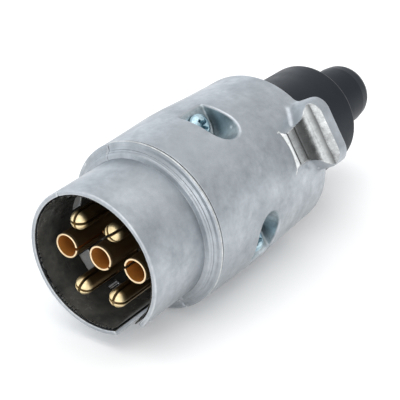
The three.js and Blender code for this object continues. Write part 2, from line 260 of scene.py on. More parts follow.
class EffectGroups:
    """Builds each shared effect once, as a shader node group with named sockets."""

    def __init__(self) -> None:
        """Starts with no group built."""
        self.groups: dict[Effect, bpy.types.NodeTree] = {}

    def group(self, effect: Effect) -> bpy.types.NodeTree:
        """Gives an effect's node group, building it on first use.

        Args:
            effect: The effect wanted.

        Returns:
            Its node group.
        """
        if effect not in self.groups:
            build = {
                Effect.MOTTLE: self.build_mottle,
                Effect.GRAIN: self.build_grain,
                Effect.LINES: self.build_lines,
                Effect.WEAR_AND_CREVICE_SHADE: self.build_wear_and_crevice_shade,
                Effect.SMUDGE: self.build_smudge,
            }[effect]
            self.groups[effect] = build(effect.value)
        return self.groups[effect]

    @staticmethod
    def start(name: str, inputs: dict[str, float], outputs: Sequence[str]) -> tuple[Tree, dict, bpy.types.Node]:
        """Starts a group with a place input, number inputs and number outputs.

        Args:
            name: The group's name.
            inputs: Each number input with its usual value.
            outputs: The names of the outputs.

        Returns:
            The tree wrapper, the group's inputs by name, and its output node.
        """
        made = bpy.data.node_groups.new(name, "ShaderNodeTree")
        made.interface.new_socket("Place", in_out="INPUT", socket_type="NodeSocketVector")
        for label, value in inputs.items():
            socket = made.interface.new_socket(label, in_out="INPUT", socket_type="NodeSocketFloat")
            socket.default_value = value
        for label in outputs:
            made.interface.new_socket(label, in_out="OUTPUT", socket_type="NodeSocketFloat")
        tree = Tree(made)
        entry = tree.add("NodeGroupInput")
        exit_node = tree.add("NodeGroupOutput")
        return tree, {socket.name: socket for socket in entry.outputs}, exit_node

    def build_mottle(self, name: str) -> bpy.types.NodeTree:
        """Builds the cloudy patches that a die casting has after tumbling.

        Args:
            name: The group's name.

        Returns:
            The group.
        """
        tree, given, end = self.start(name, {"Scale": 90.0, "Contrast": 1.0}, ["Patches", "Height"])
        close_share = 0.45
        broad = tree.noise(given["Place"], given["Scale"], detail=3.0, roughness=0.6)
        close_scale = tree.math("MULTIPLY", given["Scale"], 4.3)
        close = tree.noise(given["Place"], close_scale, detail=5.0, roughness=0.7)
        sum_of_both = tree.math("MULTIPLY_ADD", close, close_share, tree.math("MULTIPLY", broad, 1 - close_share))
        centred = tree.math("SUBTRACT", sum_of_both, 0.5)
        contrast = tree.math("MULTIPLY", centred, tree.math("MULTIPLY", given["Contrast"], 3.2))
        tree.feed(end.inputs["Patches"], tree.math("ADD", contrast, 0.5, clamp=True))
        tree.feed(end.inputs["Height"], sum_of_both)
        return tree.tree

    def build_grain(self, name: str) -> bpy.types.NodeTree:
        """Builds a fine even grain, for moulded and blasted skins.

        Args:
            name: The group's name.

        Returns:
            The group.
        """
        tree, given, end = self.start(name, {"Scale": 2500.0}, ["Height"])
        tree.feed(end.inputs["Height"], tree.noise(given["Place"], given["Scale"], detail=2.0, roughness=0.6))
        return tree.tree

    def build_lines(self, name: str) -> bpy.types.NodeTree:
        """Builds the fine parallel lines that a cutting tool leaves; Place arrives already stretched.

        Args:
            name: The group's name.

        Returns:
            The group.
        """
        tree, given, end = self.start(name, {"Scale": 400.0}, ["Height", "Tone"])
        lines = tree.noise(given["Place"], given["Scale"], detail=3.0, roughness=0.65)
        tree.feed(end.inputs["Height"], lines)
        tree.feed(end.inputs["Tone"], tree.spread(lines, 0.3, 0.7))
        return tree.tree

    def build_wear_and_crevice_shade(self, name: str) -> bpy.types.NodeTree:
        """Builds a mask of rubbed edges from the surface's pointiness, broken up by noise, and a mask of hollows where
        shade is painted into the colour.

        Args:
            name: The group's name.

        Returns:
            The group.
        """
        tree, given, end = self.start(name, {"Start": 0.51, "End": 0.56, "Break": 0.5}, ["Mask", "CreviceShade"])
        sharp = tree.add("ShaderNodeNewGeometry").outputs["Pointiness"]
        edge = tree.spread(sharp, given["Start"], given["End"])
        gaps = tree.spread(tree.noise(given["Place"], 700.0), 0.35, 0.6, to_low=1.0, to_high=0.0)
        kept = tree.math("SUBTRACT", 1.0, tree.math("MULTIPLY", given["Break"], gaps))
        tree.feed(end.inputs["Mask"], tree.math("MULTIPLY", edge, kept, clamp=True))
        # The second mask marks hollows, where the finishes paint shade into their colour.
        tree.feed(end.inputs["CreviceShade"], tree.spread(sharp, 0.49, 0.42))
        return tree.tree

    def build_smudge(self, name: str) -> bpy.types.NodeTree:
        """Builds soft streaks and finger marks that change the gloss.

        Args:
            name: The group's name.

        Returns:
            The group.
        """
        tree, given, end = self.start(name, {"Scale": 60.0}, ["Amount"])
        warped = tree.noise(given["Place"], given["Scale"], detail=6.0, roughness=0.72)
        tree.feed(end.inputs["Amount"], tree.spread(warped, 0.42, 0.62))
        return tree.tree


EFFECTS = EffectGroups()


# ---------------------------------------------------------------- finishes


class Skin:
    """A new material with its Principled shader, an object-space place, and helpers to dress it."""

    def __init__(self, name: str) -> None:
        """Makes the material and its shader.

        Args:
            name: The material's name.
        """
        self.material = bpy.data.materials.new(name)
        self.material.use_nodes = True
        self.tree = Tree(self.material.node_tree)
        self.shader = self.material.node_tree.nodes["Principled BSDF"]
        self.place = self.tree.add("ShaderNodeTexCoord").outputs["Object"]
        self.normal: bpy.types.NodeSocket | None = None

    def effect(self, effect: Effect, place: object = None, **values: float) -> bpy.types.Node:
        """Places a shared effect in the material with its own values.

        Args:
            effect: The effect.
            place: Where it is sampled, or None for the material's own place.
            **values: The effect's number inputs.

        Returns:
            The group's node.
        """
        node = self.tree.add("ShaderNodeGroup", node_tree=EFFECTS.group(effect))
        self.tree.feed(node.inputs["Place"], self.place if place is None else place)
        for label, value in values.items():
            self.tree.feed(node.inputs[label], value)
        return node

    def set(self, **values: object) -> None:
        """Sets or feeds the shader's sockets; an underscore in a name stands for a space."""
        for label, value in values.items():
            self.tree.feed(self.shader.inputs[label.replace("_", " ")], value)

    def bump(self, height: object, depth: float, strength: float) -> None:
        """Adds a bump from a height, on top of any bump so far.

        Args:
            height: The height's output.
            depth: The height's full depth in metres.
            strength: How much of it shows.
        """
        node = self.tree.add("ShaderNodeBump")
        self.tree.feed(node.inputs["Strength"], strength)
        self.tree.feed(node.inputs["Distance"], depth)
        self.tree.feed(node.inputs["Height"], height)
        if self.normal is not None:
            self.tree.feed(node.inputs["Normal"], self.normal)
        self.normal = node.outputs["Normal"]
        self.tree.feed(self.shader.inputs["Normal"], self.normal)


Colour = tuple[float, float, float, float]


@dataclass(frozen=True)
class CastFinish:
    """Die-cast alloy, tumbled: cloudy blue-grey patches, soft gloss, brighter rubbed edges, and near-black painted
    shade in its hollows.
    """

    name: str = "die_cast_alloy"
    light: Colour = (0.49, 0.52, 0.55, 1.0)
    dark: Colour = (0.31, 0.335, 0.36, 1.0)
    edge: Colour = (0.66, 0.68, 0.70, 1.0)
    # Near-black painted shade for the hollows of the casting.
    hollow: Colour = (0.06, 0.065, 0.07, 1.0)
    patch_scale: float = 95.0
    contrast: float = 1.0
    smear: float = 0.5
    smooth: float = 0.30
    rough: float = 0.46

    def build(self) -> bpy.types.Material:
        """Builds the material.

        Returns:
            The material.
        """
        skin = Skin(self.name)
        mottle = skin.effect(Effect.MOTTLE, Scale=self.patch_scale, Contrast=self.contrast)
        wear_and_shade = skin.effect(Effect.WEAR_AND_CREVICE_SHADE, Start=0.515, End=0.57, Break=0.6)
        grain = skin.effect(Effect.GRAIN, Scale=1900.0)
        tone = skin.tree.mix(mottle.outputs["Patches"], self.dark, self.light)
        streaks = skin.effect(Effect.SMUDGE, place=skin.tree.stretched(skin.place, (1.0, 0.45, 1.0)), Scale=70.0)
        smear = skin.tree.math("MULTIPLY", streaks.outputs["Amount"], self.smear)
        smeared = skin.tree.mix(smear, tone, self.dark)
        worn = skin.tree.mix(wear_and_shade.outputs["Mask"], smeared, self.edge)
        # Hollows are darkened towards the near-black colour: painted shade.
        skin.set(Base_Color=skin.tree.mix(wear_and_shade.outputs["CreviceShade"], worn, self.hollow), Metallic=1.0)
        skin.set(Roughness=skin.tree.spread(mottle.outputs["Patches"], 0.0, 1.0, self.rough, self.smooth))
        skin.bump(mottle.outputs["Height"], depth=0.00022, strength=0.35)
        skin.bump(grain.outputs["Height"], depth=0.00002, strength=0.35)
        return skin.material


@dataclass(frozen=True)
class MachinedFinishWithPaintedLight:
    """Cut alloy: its tone changes along the plug, with bright lands, painted highlights on the ridge and edges of the
    catch, and painted shadow behind its step, in its creases and on its curved wall.

    Each tone is a distance from the rim in millimetres and the brightness there.
    """

    name: str = "machined_alloy_with_painted_light"
    tint: Colour = (0.97, 0.99, 0.985, 1.0)
    roughness: float = 0.30
    start: float = 20.0
    end: float = 75.0
    sway: float = 0.0003
    # Near-black just behind the step, dark where the floor curves up, dark in the creases and bright on the ridge and
    # back edge: painted shadows and highlights. The brighter tones from 20 to 23 paint a highlight on the collar's lip.
    tones_and_painted_light: tuple = (
        (20.0, 0.62), (23.0, 0.70), (59.0, 0.85), (60.12, 0.80), (60.24, 0.01), (60.75, 0.02), (60.92, 0.66),
        (64.15, 0.66), (64.50, 0.14), (65.70, 0.07), (66.30, 0.45), (66.80, 0.92), (67.50, 0.80), (68.45, 0.34),
        (68.85, 0.16), (69.05, 0.48), (69.85, 0.60), (69.98, 1.00), (70.12, 0.95), (70.22, 0.08))

    def build(self) -> bpy.types.Material:
        """Builds the material.

        Returns:
            The material.
        """
        skin = Skin(self.name)
        along = skin.tree.add("ShaderNodeSeparateXYZ")
        skin.tree.feed(along.inputs[0], skin.place)
        mottle = skin.effect(Effect.MOTTLE, Scale=420.0, Contrast=1.0)
        swayed = skin.tree.math("MULTIPLY_ADD", mottle.outputs["Patches"], self.sway, along.outputs["Y"])
        rim = PLUG.axis.y + self.sway / 2
        share = skin.tree.spread(swayed, rim + self.start * MM, rim + self.end * MM)
        # The ramp lays the tones along the plug, painting light and shade on the cut faces.
        ramp = skin.tree.add("ShaderNodeValToRGB")
        skin.tree.feed(ramp.inputs["Fac"], share)
        stops = ramp.color_ramp.elements
        while len(stops) < len(self.tones_and_painted_light):
            stops.new(0.5)
        for stop, (place, _) in zip(stops, self.tones_and_painted_light):
            stop.position = (place - self.start) / (self.end - self.start)
        for stop, (_, tone) in zip(stops, self.tones_and_painted_light):
            stop.color = [tone * value for value in self.tint[:3]] + [1.0]
        grimy = skin.tree.add("ShaderNodeVectorMath", operation="SCALE")
        skin.tree.feed(grimy.inputs[0], ramp.outputs["Color"])
        grime = skin.tree.spread(mottle.outputs["Patches"], 0.1, 0.9, to_low=0.62, to_high=1.03)
        skin.tree.feed(grimy.inputs["Scale"], grime)
        skin.set(Base_Color=grimy.outputs[0], Metallic=1.0)
        skin.set(Roughness=skin.tree.spread(mottle.outputs["Patches"], 0.0, 1.0, self.roughness + 0.1, self.roughness))
        across = skin.tree.stretched(skin.place, (0.12, 4.0, 0.12))
        lines = skin.effect(Effect.LINES, place=across, Scale=900.0)
        skin.bump(lines.outputs["Height"], depth=0.00002, strength=0.4)
        return skin.material


@dataclass(frozen=True)
class MouldedFinish:
    """Hard black moulding with a high gloss and faint flow streaks."""

    name: str = "black_moulding"
    base: Colour = (0.034, 0.035, 0.033, 1.0)
    streak: Colour = (0.085, 0.083, 0.076, 1.0)
    scratch: Colour = (0.30, 0.30, 0.29, 1.0)
    scratched: float = 0.28
    smooth: float = 0.09
    rough: float = 0.28

    def build(self) -> bpy.types.Material:
        """Builds the material.

        Returns:
            The material.
        """
        skin = Skin(self.name)
        smudge = skin.effect(Effect.SMUDGE, Scale=75.0)
        grain = skin.effect(Effect.GRAIN, Scale=900.0)
        tone = skin.tree.mix(smudge.outputs["Amount"], self.base, self.streak)
        arcs = skin.effect(Effect.LINES, place=skin.tree.stretched(skin.place, (0.3, 7.0, 0.3)), Scale=260.0)
        scratched = skin.tree.spread(arcs.outputs["Height"], 0.66, 0.74, to_high=self.scratched)
        skin.set(Base_Color=skin.tree.mix(scratched, tone, self.scratch))
        skin.set(Roughness=skin.tree.spread(smudge.outputs["Amount"], 0.0, 1.0, self.smooth, self.rough))
        skin.set(Specular_IOR_Level=0.55)
        skin.bump(grain.outputs["Height"], depth=0.00003, strength=0.25)
        return skin.material


@dataclass(frozen=True)
class BrassFinish:
    """Turned brass with fine rings, its colour painted darker from the mouth inward between two depths in millimetres
    as shade inside the barrel, with painted shade in its hollows.
    """

    name: str
    light: Colour
    dark: Colour
    # The darkest tone: painted shade deep in the barrel and in hollows.
    shade_tone: Colour
    lit_to: float
    shaded_from: float
    roughness: float = 0.34
    tarnish: float = 0.12
    metallic: float = 1.0

    def build(self) -> bpy.types.Material:
        """Builds the material.

        Returns:
            The material.
        """
        skin = Skin(self.name)
        rings = skin.effect(Effect.LINES, place=skin.tree.stretched(skin.place, (0.35, 5.0, 0.35)), Scale=650.0)
        mottle = skin.effect(Effect.MOTTLE, Scale=240.0, Contrast=0.5)
        wear_and_shade = skin.effect(Effect.WEAR_AND_CREVICE_SHADE, Start=0.52, End=0.6, Break=0.2)
        along = skin.tree.add("ShaderNodeSeparateXYZ")
        skin.tree.feed(along.inputs[0], skin.place)
        rim = PLUG.axis.y
        # From the first depth to the second the colour darkens into painted shade inside the barrel.
        depth = skin.tree.spread(along.outputs["Y"], rim + self.lit_to * MM, rim + self.shaded_from * MM)
        unshaded = skin.tree.mix(mottle.outputs["Patches"], self.dark, self.light)
        tone = skin.tree.mix(depth, unshaded, self.shade_tone)
        # Hollows take the darkest tone too, as painted shade.
        skin.set(Base_Color=skin.tree.mix(wear_and_shade.outputs["CreviceShade"], tone, self.shade_tone), Metallic=self.metallic)
        dull = self.roughness + self.tarnish
        skin.set(Roughness=skin.tree.spread(mottle.outputs["Patches"], 0.0, 1.0, dull, self.roughness))
        skin.bump(rings.outputs["Height"], depth=0.00001, strength=0.35)
        return skin.material


@dataclass(frozen=True)
class PlatedFinish:
    """Plated steel: a thin bright layer with a slight cast of colour, and painted shade in its hollows such as the
    recess.
    """

    name: str
    light: Colour
    dark: Colour
    roughness: float = 0.24
    crevice_shade_share: float = 0.25

    def build(self) -> bpy.types.Material:
        """Builds the material.

        Returns:
            The material.
        """
        skin = Skin(self.name)
        mottle = skin.effect(Effect.MOTTLE, Scale=500.0, Contrast=1.2)
        wear_and_shade = skin.effect(Effect.WEAR_AND_CREVICE_SHADE, Start=0.52, End=0.6, Break=0.4)
        tone = skin.tree.mix(mottle.outputs["Patches"], self.dark, self.light)
        # A darker copy of the plate's colour, laid into the hollows as painted shade.
        hollow = tuple(self.crevice_shade_share * value for value in self.dark[:3]) + (1.0,)
        skin.set(Base_Color=skin.tree.mix(wear_and_shade.outputs["CreviceShade"], tone, hollow), Metallic=1.0)
        skin.set(Roughness=skin.tree.spread(mottle.outputs["Patches"], 0.0, 1.0, self.roughness + 0.15, self.roughness))
        skin.bump(mottle.outputs["Height"], depth=0.00003, strength=0.4)
        return skin.material


@dataclass(frozen=True)
class RubberFinish:
    """Smooth black rubber with a soft sheen and a trace of bloom."""

    name: str = "boot_rubber"
    base: Colour = (0.0045, 0.0062, 0.0100, 1.0)
    bloom: Colour = (0.010, 0.0125, 0.0175, 1.0)
    smooth: float = 0.34
    rough: float = 0.50

    def build(self) -> bpy.types.Material:
        """Builds the material.

        Returns:
            The material.
        """
        skin = Skin(self.name)
        smudge = skin.effect(Effect.SMUDGE, Scale=45.0)
        grain = skin.effect(Effect.GRAIN, Scale=2600.0)
        skin.set(Base_Color=skin.tree.mix(smudge.outputs["Amount"], self.base, self.bloom))
        skin.set(Roughness=skin.tree.spread(smudge.outputs["Amount"], 0.0, 1.0, self.smooth, self.rough))
        skin.set(Specular_IOR_Level=0.17, Specular_Tint=(0.82, 0.92, 1.0, 1.0))
        skin.bump(grain.outputs["Height"], depth=0.00003, strength=0.45)
        return skin.material


@dataclass
class Finishes:
    """Every finish of the plug, built once."""

    cast: bpy.types.Material = field(default_factory=lambda: CastFinish().build())
    raw: bpy.types.Material = field(default_factory=lambda: CastFinish(
        name="raw_casting", light=(0.56, 0.62, 0.65, 1.0), dark=(0.27, 0.32, 0.34, 1.0), patch_scale=160.0,
        contrast=1.3, smooth=0.32, rough=0.5).build())
    machined: bpy.types.Material = field(default_factory=lambda: MachinedFinishWithPaintedLight().build())
    moulding: bpy.types.Material = field(default_factory=lambda: MouldedFinish().build())
    window: bpy.types.Material = field(default_factory=lambda: MouldedFinish(
        name="metal_in_window", base=(0.74, 0.77, 0.79, 1.0), streak=(0.95, 0.96, 0.97, 1.0),
        scratch=(1.0, 1.0, 1.0, 1.0), smooth=0.25, rough=0.40).build())
    pin_brass: bpy.types.Material = field(default_factory=lambda: BrassFinish(
        name="pin_brass", light=(0.98, 0.83, 0.52, 1.0), dark=(0.80, 0.62, 0.34, 1.0), shade_tone=(0.22, 0.145, 0.07, 1.0),
        lit_to=2.2, shaded_from=3.6).build())
    tube_brass: bpy.types.Material = field(default_factory=lambda: BrassFinish(
        name="tube_brass", light=(0.98, 0.80, 0.54, 1.0), dark=(0.80, 0.60, 0.36, 1.0), shade_tone=(0.36, 0.24, 0.12, 1.0),
        lit_to=3.5, shaded_from=4.3).build())
    # Brass of the tubes' bores, painted darker and redder than the outside and darker still further in: painted shade
    # inside the tubes.
    bore_brass_in_shade: bpy.types.Material = field(default_factory=lambda: BrassFinish(
        name="brass_bore_in_painted_shade", light=(0.88, 0.43, 0.10, 1.0), dark=(0.62, 0.27, 0.05, 1.0), shade_tone=(0.42, 0.17, 0.03, 1.0),
        lit_to=5.0, shaded_from=12.0, metallic=0.7).build())
    zinc: bpy.types.Material = field(default_factory=lambda: PlatedFinish(
        name="blue_zinc_plate", light=(0.56, 0.72, 0.78, 1.0), dark=(0.22, 0.34, 0.41, 1.0)).build())
    nickel: bpy.types.Material = field(default_factory=lambda: PlatedFinish(
        name="nickel_plate", light=(0.70, 0.67, 0.61, 1.0), dark=(0.48, 0.45, 0.40, 1.0)).build())
    rubber: bpy.types.Material = field(default_factory=lambda: RubberFinish().build())


# ---------------------------------------------------------------- meshes


@dataclass
class Shape:
    """Points in the plug's frame and the faces between them, with an optional normal for each point."""

    points: Points
    faces: list
    normals: Points | None = None

    def turned(self, matrix: Matrix) -> "Shape":
        """Gives the shape moved by a matrix.

        Args:
            matrix: A turn and shift in the plug's frame.

        Returns:
            The moved copy.
        """
        array = np.array(matrix)
        normals = None if self.normals is None else self.normals @ array[:3, :3].T
        return Shape(self.points @ array[:3, :3].T + array[:3, 3], self.faces, normals)


def add_piece(name: str, shape: Shape, finishes: Sequence[bpy.types.Material], body: str,
              nodes: Sequence[str], face_finish: np.ndarray | None = None, crease: float = 0.0) -> None:
    """Makes a mesh object, dresses it, and sets it on its body.

    Args:
        name: The piece's name.
        shape: Its points and faces in the plug's frame.
        finishes: The materials, of which the first is the usual one.
        body: The body it rides on.
        nodes: The CAD nodes that it stands for.
        face_finish: The index of each face's material, if there are several.
        crease: For a shape without normals of its own, the angle above which an edge stays sharp, in degrees.
    """
    mesh = bpy.data.meshes.new(name)
    mesh.from_pydata(PLUG.place(shape.points), [], shape.faces)
    for material in finishes:
        mesh.materials.append(material)
    if face_finish is not None:
        mesh.polygons.foreach_set("material_index", face_finish.astype(np.int32))
    mesh.shade_smooth()
    piece = bpy.data.objects.new(name, mesh)
    bpy.context.scene.collection.objects.link(piece)
    if shape.normals is not None:
        turn = np.array(PLUG.matrix())[:3, :3] / MM
        mesh.normals_split_custom_set_from_vertices((shape.normals @ turn.T).tolist())
    else:
        mesh.validate()
        mesh.set_sharp_from_angle(angle=math.radians(crease))
        weighted = piece.modifiers.new("even_shading", "WEIGHTED_NORMAL")
        weighted.keep_sharp = True
    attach(piece, body)
    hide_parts(*nodes)
    LOG.info("%s: %d faces on %s", name, len(shape.faces), body)


# ---------------------------------------------------------------- turned shapes


def rounded(corners: Sequence[tuple[float, float, float]], steps: int) -> list:
    """Rounds the corners of a closed profile with arcs.

    Args:
        corners: Each corner as its two coordinates and the radius of its rounding.
        steps: How many stretches each arc has.

    Returns:
        The points of the rounded profile.
    """
    straight = math.radians(88)
    outline = []
    for index, (along, radius, rounding) in enumerate(corners):
        here = np.array((along, radius))
        before = np.array(corners[index - 1][:2]) - here
        after = np.array(corners[(index + 1) % len(corners)][:2]) - here
        reach = (np.linalg.norm(before), np.linalg.norm(after))
        toward = (before / reach[0], after / reach[1])
        half = math.acos(max(-1.0, min(1.0, float(toward[0] @ toward[1])))) / 2
        if rounding <= 0 or half > straight:
            outline.append(tuple(here))
            continue
        tangent = min(rounding / math.tan(half), 0.48 * min(reach))
        size = tangent * math.tan(half)
        middle = here + (toward[0] + toward[1]) / np.linalg.norm(toward[0] + toward[1]) * size / math.sin(half)
        first = here + toward[0] * tangent - middle
        last = here + toward[1] * tangent - middle
        sense = np.sign(first[0] * last[1] - first[1] * last[0])
        for step in range(steps + 1):
            angle = sense * (math.pi - 2 * half) * step / steps
            spun = (first[0] * math.cos(angle) - first[1] * math.sin(angle),
                    first[0] * math.sin(angle) + first[1] * math.cos(angle))
            outline.append((middle[0] + spun[0], middle[1] + spun[1]))
    return outline


def turned(profile: Sequence[tuple[float, float]], steps: int) -> Shape:
    """Turns a closed profile about the Y axis.

    Args:
        profile: The (along, radius) points, none of them on the axis.
        steps: How many stretches the turn has.

    Returns:
        The turned ring.
    """
    angles = np.radians(360.0 * np.arange(steps) / steps)
    points = [(radius * math.sin(a), along, radius * math.cos(a)) for along, radius in profile for a in angles]
    faces = []
    for row in range(len(profile)):
        here, there = row * steps, (row + 1) % len(profile) * steps
        for column in range(steps):
            after = (column + 1) % steps
            faces.append([here + column, here + after, there + after, there + column])
    return outward(Shape(np.array(points), faces))


def outward(shape: Shape) -> Shape:
    """Turns a closed shape's faces so that they look out.

    Args:
        shape: A closed shape whose faces agree with each other.

    Returns:
        The same shape, with its faces reversed if they looked in.
    """
    volume = 0.0
    for face in shape.faces:
        first = shape.points[face[0]]
        for second, third in zip(face[1:-1], face[2:]):
            volume += float(first @ np.cross(shape.points[second], shape.points[third]))
    if volume < 0:
        shape.faces = [face[::-1] for face in shape.faces]
    return shape


def around(angle: float) -> Matrix:
    """Gives the turn about the plug's axis that takes +Z to an angle clockwise from the lug, in degrees."""
    return Matrix.Rotation(math.radians(angle), 4, "Y")


# ---------------------------------------------------------------- shapes from fields of distance


def smooth_union(first: np.ndarray, second: np.ndarray, radius: float) -> np.ndarray:
    """Joins two distance fields with a fillet."""
    share = np.maximum(radius - np.abs(first - second), 0.0) / radius
    return np.minimum(first, second) - share * share * radius * 0.25


def smooth_overlap(first: np.ndarray, second: np.ndarray, radius: float) -> np.ndarray:
    """Keeps what two distance fields share, with a rounded edge."""
    return -smooth_union(-first, -second, radius)


def polygon_distance(outline: Sequence[tuple[float, float]], u: np.ndarray, v: np.ndarray) -> np.ndarray:
    """Measures the signed distance to a closed outline, negative inside.

    Args:
        outline: The outline's points.
        u: First coordinates of the places to measure.
        v: Second coordinates.

    Returns:
        The distance at each place.
    """
    shape = np.broadcast(u, v).shape
    nearest = np.full(shape, np.inf)
    inside = np.zeros(shape, bool)
    for index, (u1, v1) in enumerate(outline):
        u0, v0 = outline[index - 1]
        edge_u, edge_v = u1 - u0, v1 - v0
        length = edge_u * edge_u + edge_v * edge_v
        if length < 1e-12:
            continue
        du, dv = u - u0, v - v0
        along = du * (edge_u / length) + dv * (edge_v / length)
        np.maximum(along, 0.0, out=along)
        np.minimum(along, 1.0, out=along)
        off = du - along * edge_u
        np.multiply(off, off, out=off)
        along *= edge_v
        rise = np.subtract(dv, along, out=along)
        np.multiply(rise, rise, out=rise)
        off += rise
        np.minimum(nearest, off, out=nearest)
        if edge_v:
            inside ^= ((v0 > v) != (v1 > v)) & (du < (edge_u / edge_v) * dv)
    np.sqrt(nearest, out=nearest)
    np.negative(nearest, where=inside, out=nearest)
    return nearest


@dataclass(frozen=True)
class Place:
    """Places in the plug's frame, with their distance from its axis."""

    x: np.ndarray
    y: np.ndarray
    z: np.ndarray
    r: np.ndarray

    @classmethod
    def of(cls, points: Points) -> "Place":
        """Takes a row of points apart."""
        x, y, z = points.T
        return cls(x, y, z, np.hypot(x, z))


Field = Callable[[Place], np.ndarray]


@dataclass(frozen=True)
class Grid:
    """Where a field is sampled: three rising rows of coordinates, straight or bent round the plug's axis."""

    first: np.ndarray
    second: np.ndarray
    third: np.ndarray
    bent: bool = False

    def to_plug(self, coordinates: Points) -> Points:
        """Turns the grid's own coordinates into places in the plug's frame.

        Args:
            coordinates: The grid's coordinates, one place to a row.

        Returns:
            The places.
        """
        if not self.bent:
            return coordinates
        angle, along, radius = coordinates.T
        return np.stack((radius * np.sin(angle), along, radius * np.cos(angle)), axis=1)

    def samples(self, shape_field: Field) -> np.ndarray:
        """Evaluates a field at every grid point.

        Args:
            shape_field: The field.

        Returns:
            Its values, as a block with one axis for each of the grid's.
        """
        first = self.first[:, None, None]
        second = self.second[None, :, None]
        third = self.third[None, None, :]
        if not self.bent:
            return shape_field(Place(first, second, third, np.hypot(first, third)))
        return shape_field(Place(third * np.sin(first), second, third * np.cos(first), third))


def stretches(*parts: tuple[float, float]) -> np.ndarray:
    """Lays grid coordinates end to end.

    Args:
        *parts: Each stretch as the place where it ends and its spacing; the first gives the start.

    Returns:
        The coordinates, rising.
    """
    places = [parts[0][0]]
    for end, spacing in parts[1:]:
        count = max(1, round((end - places[-1]) / spacing))
        places += list(np.linspace(places[-1], end, count + 1)[1:])
    return np.array(places)


class FieldMesher:
    """Meshes the zero surface of a distance field with one point to each grid cell that it crosses.

    The points are then drawn onto the surface, as many times as settle says.
    """

    settle = 3

    def __init__(self, shape_field: Field, grid: Grid) -> None:
        """Keeps the field and the grid, round whose edge the field has to be positive."""
        self.shape_field = shape_field
        self.grid = grid

    def mesh(self) -> Shape:
        """Makes the surface.

        Returns:
            The shape, with a true normal at each point.
        """
        axes = (self.grid.first, self.grid.second, self.grid.third)
        values = np.ascontiguousarray(np.broadcast_to(self.grid.samples(self.shape_field), [len(a) for a in axes]))
        inside = values < 0
        corners = sum(
            inside[i:i + len(axes[0]) - 1, j:j + len(axes[1]) - 1, k:k + len(axes[2]) - 1].astype(np.uint8)
            for i in (0, 1) for j in (0, 1) for k in (0, 1))
        active = (corners > 0) & (corners < 8)
        numbers = np.full(active.shape, -1, np.int64)
        cells = np.array(np.nonzero(active))
        numbers[active] = np.arange(cells.shape[1])
        points = self.grid.to_plug(self.crossing_means(values, cells, axes))
        for _round in range(self.settle):
            points, _slope = self.draw_in(points)
        _moved, normals = self.draw_in(points)
        return Shape(points, self.quads(inside, numbers), normals)

    @staticmethod
    def crossing_means(values: np.ndarray, cells: np.ndarray, axes: Sequence[np.ndarray]) -> Points:
        """Averages the places where the surface crosses each active cell's edges.

        Args:
            values: The field at every grid point.
            cells: The three indices of each active cell.
            axes: The grid's three rows of coordinates.

        Returns:
            One place for each active cell, in the grid's coordinates.
        """
        total = np.zeros((cells.shape[1], 3))
        count = np.zeros(cells.shape[1])
        for axis in range(3):
            others = [a for a in range(3) if a != axis]
            for one in (0, 1):
                for two in (0, 1):
                    start = cells.copy()
                    start[others[0]] += one
                    start[others[1]] += two
                    end = start.copy()
                    end[axis] += 1
                    low, high = values[tuple(start)], values[tuple(end)]
                    crossed = (low < 0) != (high < 0)
                    share = np.where(crossed, low / np.where(crossed, low - high, 1.0), 0.0)
                    place = np.stack([axes[a][start[a]] for a in range(3)], axis=1)
                    place[:, axis] += share * (axes[axis][end[axis]] - axes[axis][start[axis]])
                    total[crossed] += place[crossed]
                    count[crossed] += 1
        return total / count[:, None]

    def draw_in(self, points: Points, reach: float = 0.02, most: float = 0.25) -> tuple[Points, Points]:
        """Moves points along the field's slope onto the surface.

        Args:
            points: Places near the surface.
            reach: The step that the slope is measured over.
            most: The furthest that a point may move.

        Returns:
            The moved points and the slope's direction at the places given.
        """
        slope = np.empty_like(points)
        for axis in range(3):
            step = np.zeros(3)
            step[axis] = reach
            ahead = self.shape_field(Place.of(points + step))
            behind = self.shape_field(Place.of(points - step))
            slope[:, axis] = (ahead - behind) / (2 * reach)
        size = np.maximum(np.linalg.norm(slope, axis=1), 1e-6)
        normals = slope / size[:, None]
        move = np.clip(self.shape_field(Place.of(points)) / size, -most, most)
        return points - normals * move[:, None], normals

    @staticmethod
    def quads(inside: np.ndarray, numbers: np.ndarray) -> list:
        """Joins the points of the four cells round each crossed grid edge.

        Args:
            inside: Whether each grid point is inside.
            numbers: The number of each cell's point.

        Returns:
            The faces, all looking out.
        """
        faces = []
        for axis in range(3):
            side, up = (axis + 1) % 3, (axis + 2) % 3
            low = np.take(inside, range(inside.shape[axis] - 1), axis)
            high = np.take(inside, range(1, inside.shape[axis]), axis)
            index = np.array(np.nonzero(low != high))
            keep = (index[side] > 0) & (index[up] > 0)
            keep &= (index[side] < inside.shape[side] - 1) & (index[up] < inside.shape[up] - 1)
            index = index[:, keep]
            looks_out = low[tuple(index)]
            corner = []
            for back_side, back_up in ((1, 1), (0, 1), (0, 0), (1, 0)):
                cell = index.copy()
                cell[side] -= back_side
                cell[up] -= back_up
                corner.append(numbers[tuple(cell)])
            ring = np.stack(corner, axis=1)
            ring[~looks_out] = ring[~looks_out][:, ::-1]
            faces += ring.tolist()
        return faces


# ---------------------------------------------------------------- screws


class Recess(Enum):
    """What a driver fits in."""

    CROSS = "cross"
    SLOT = "slot"


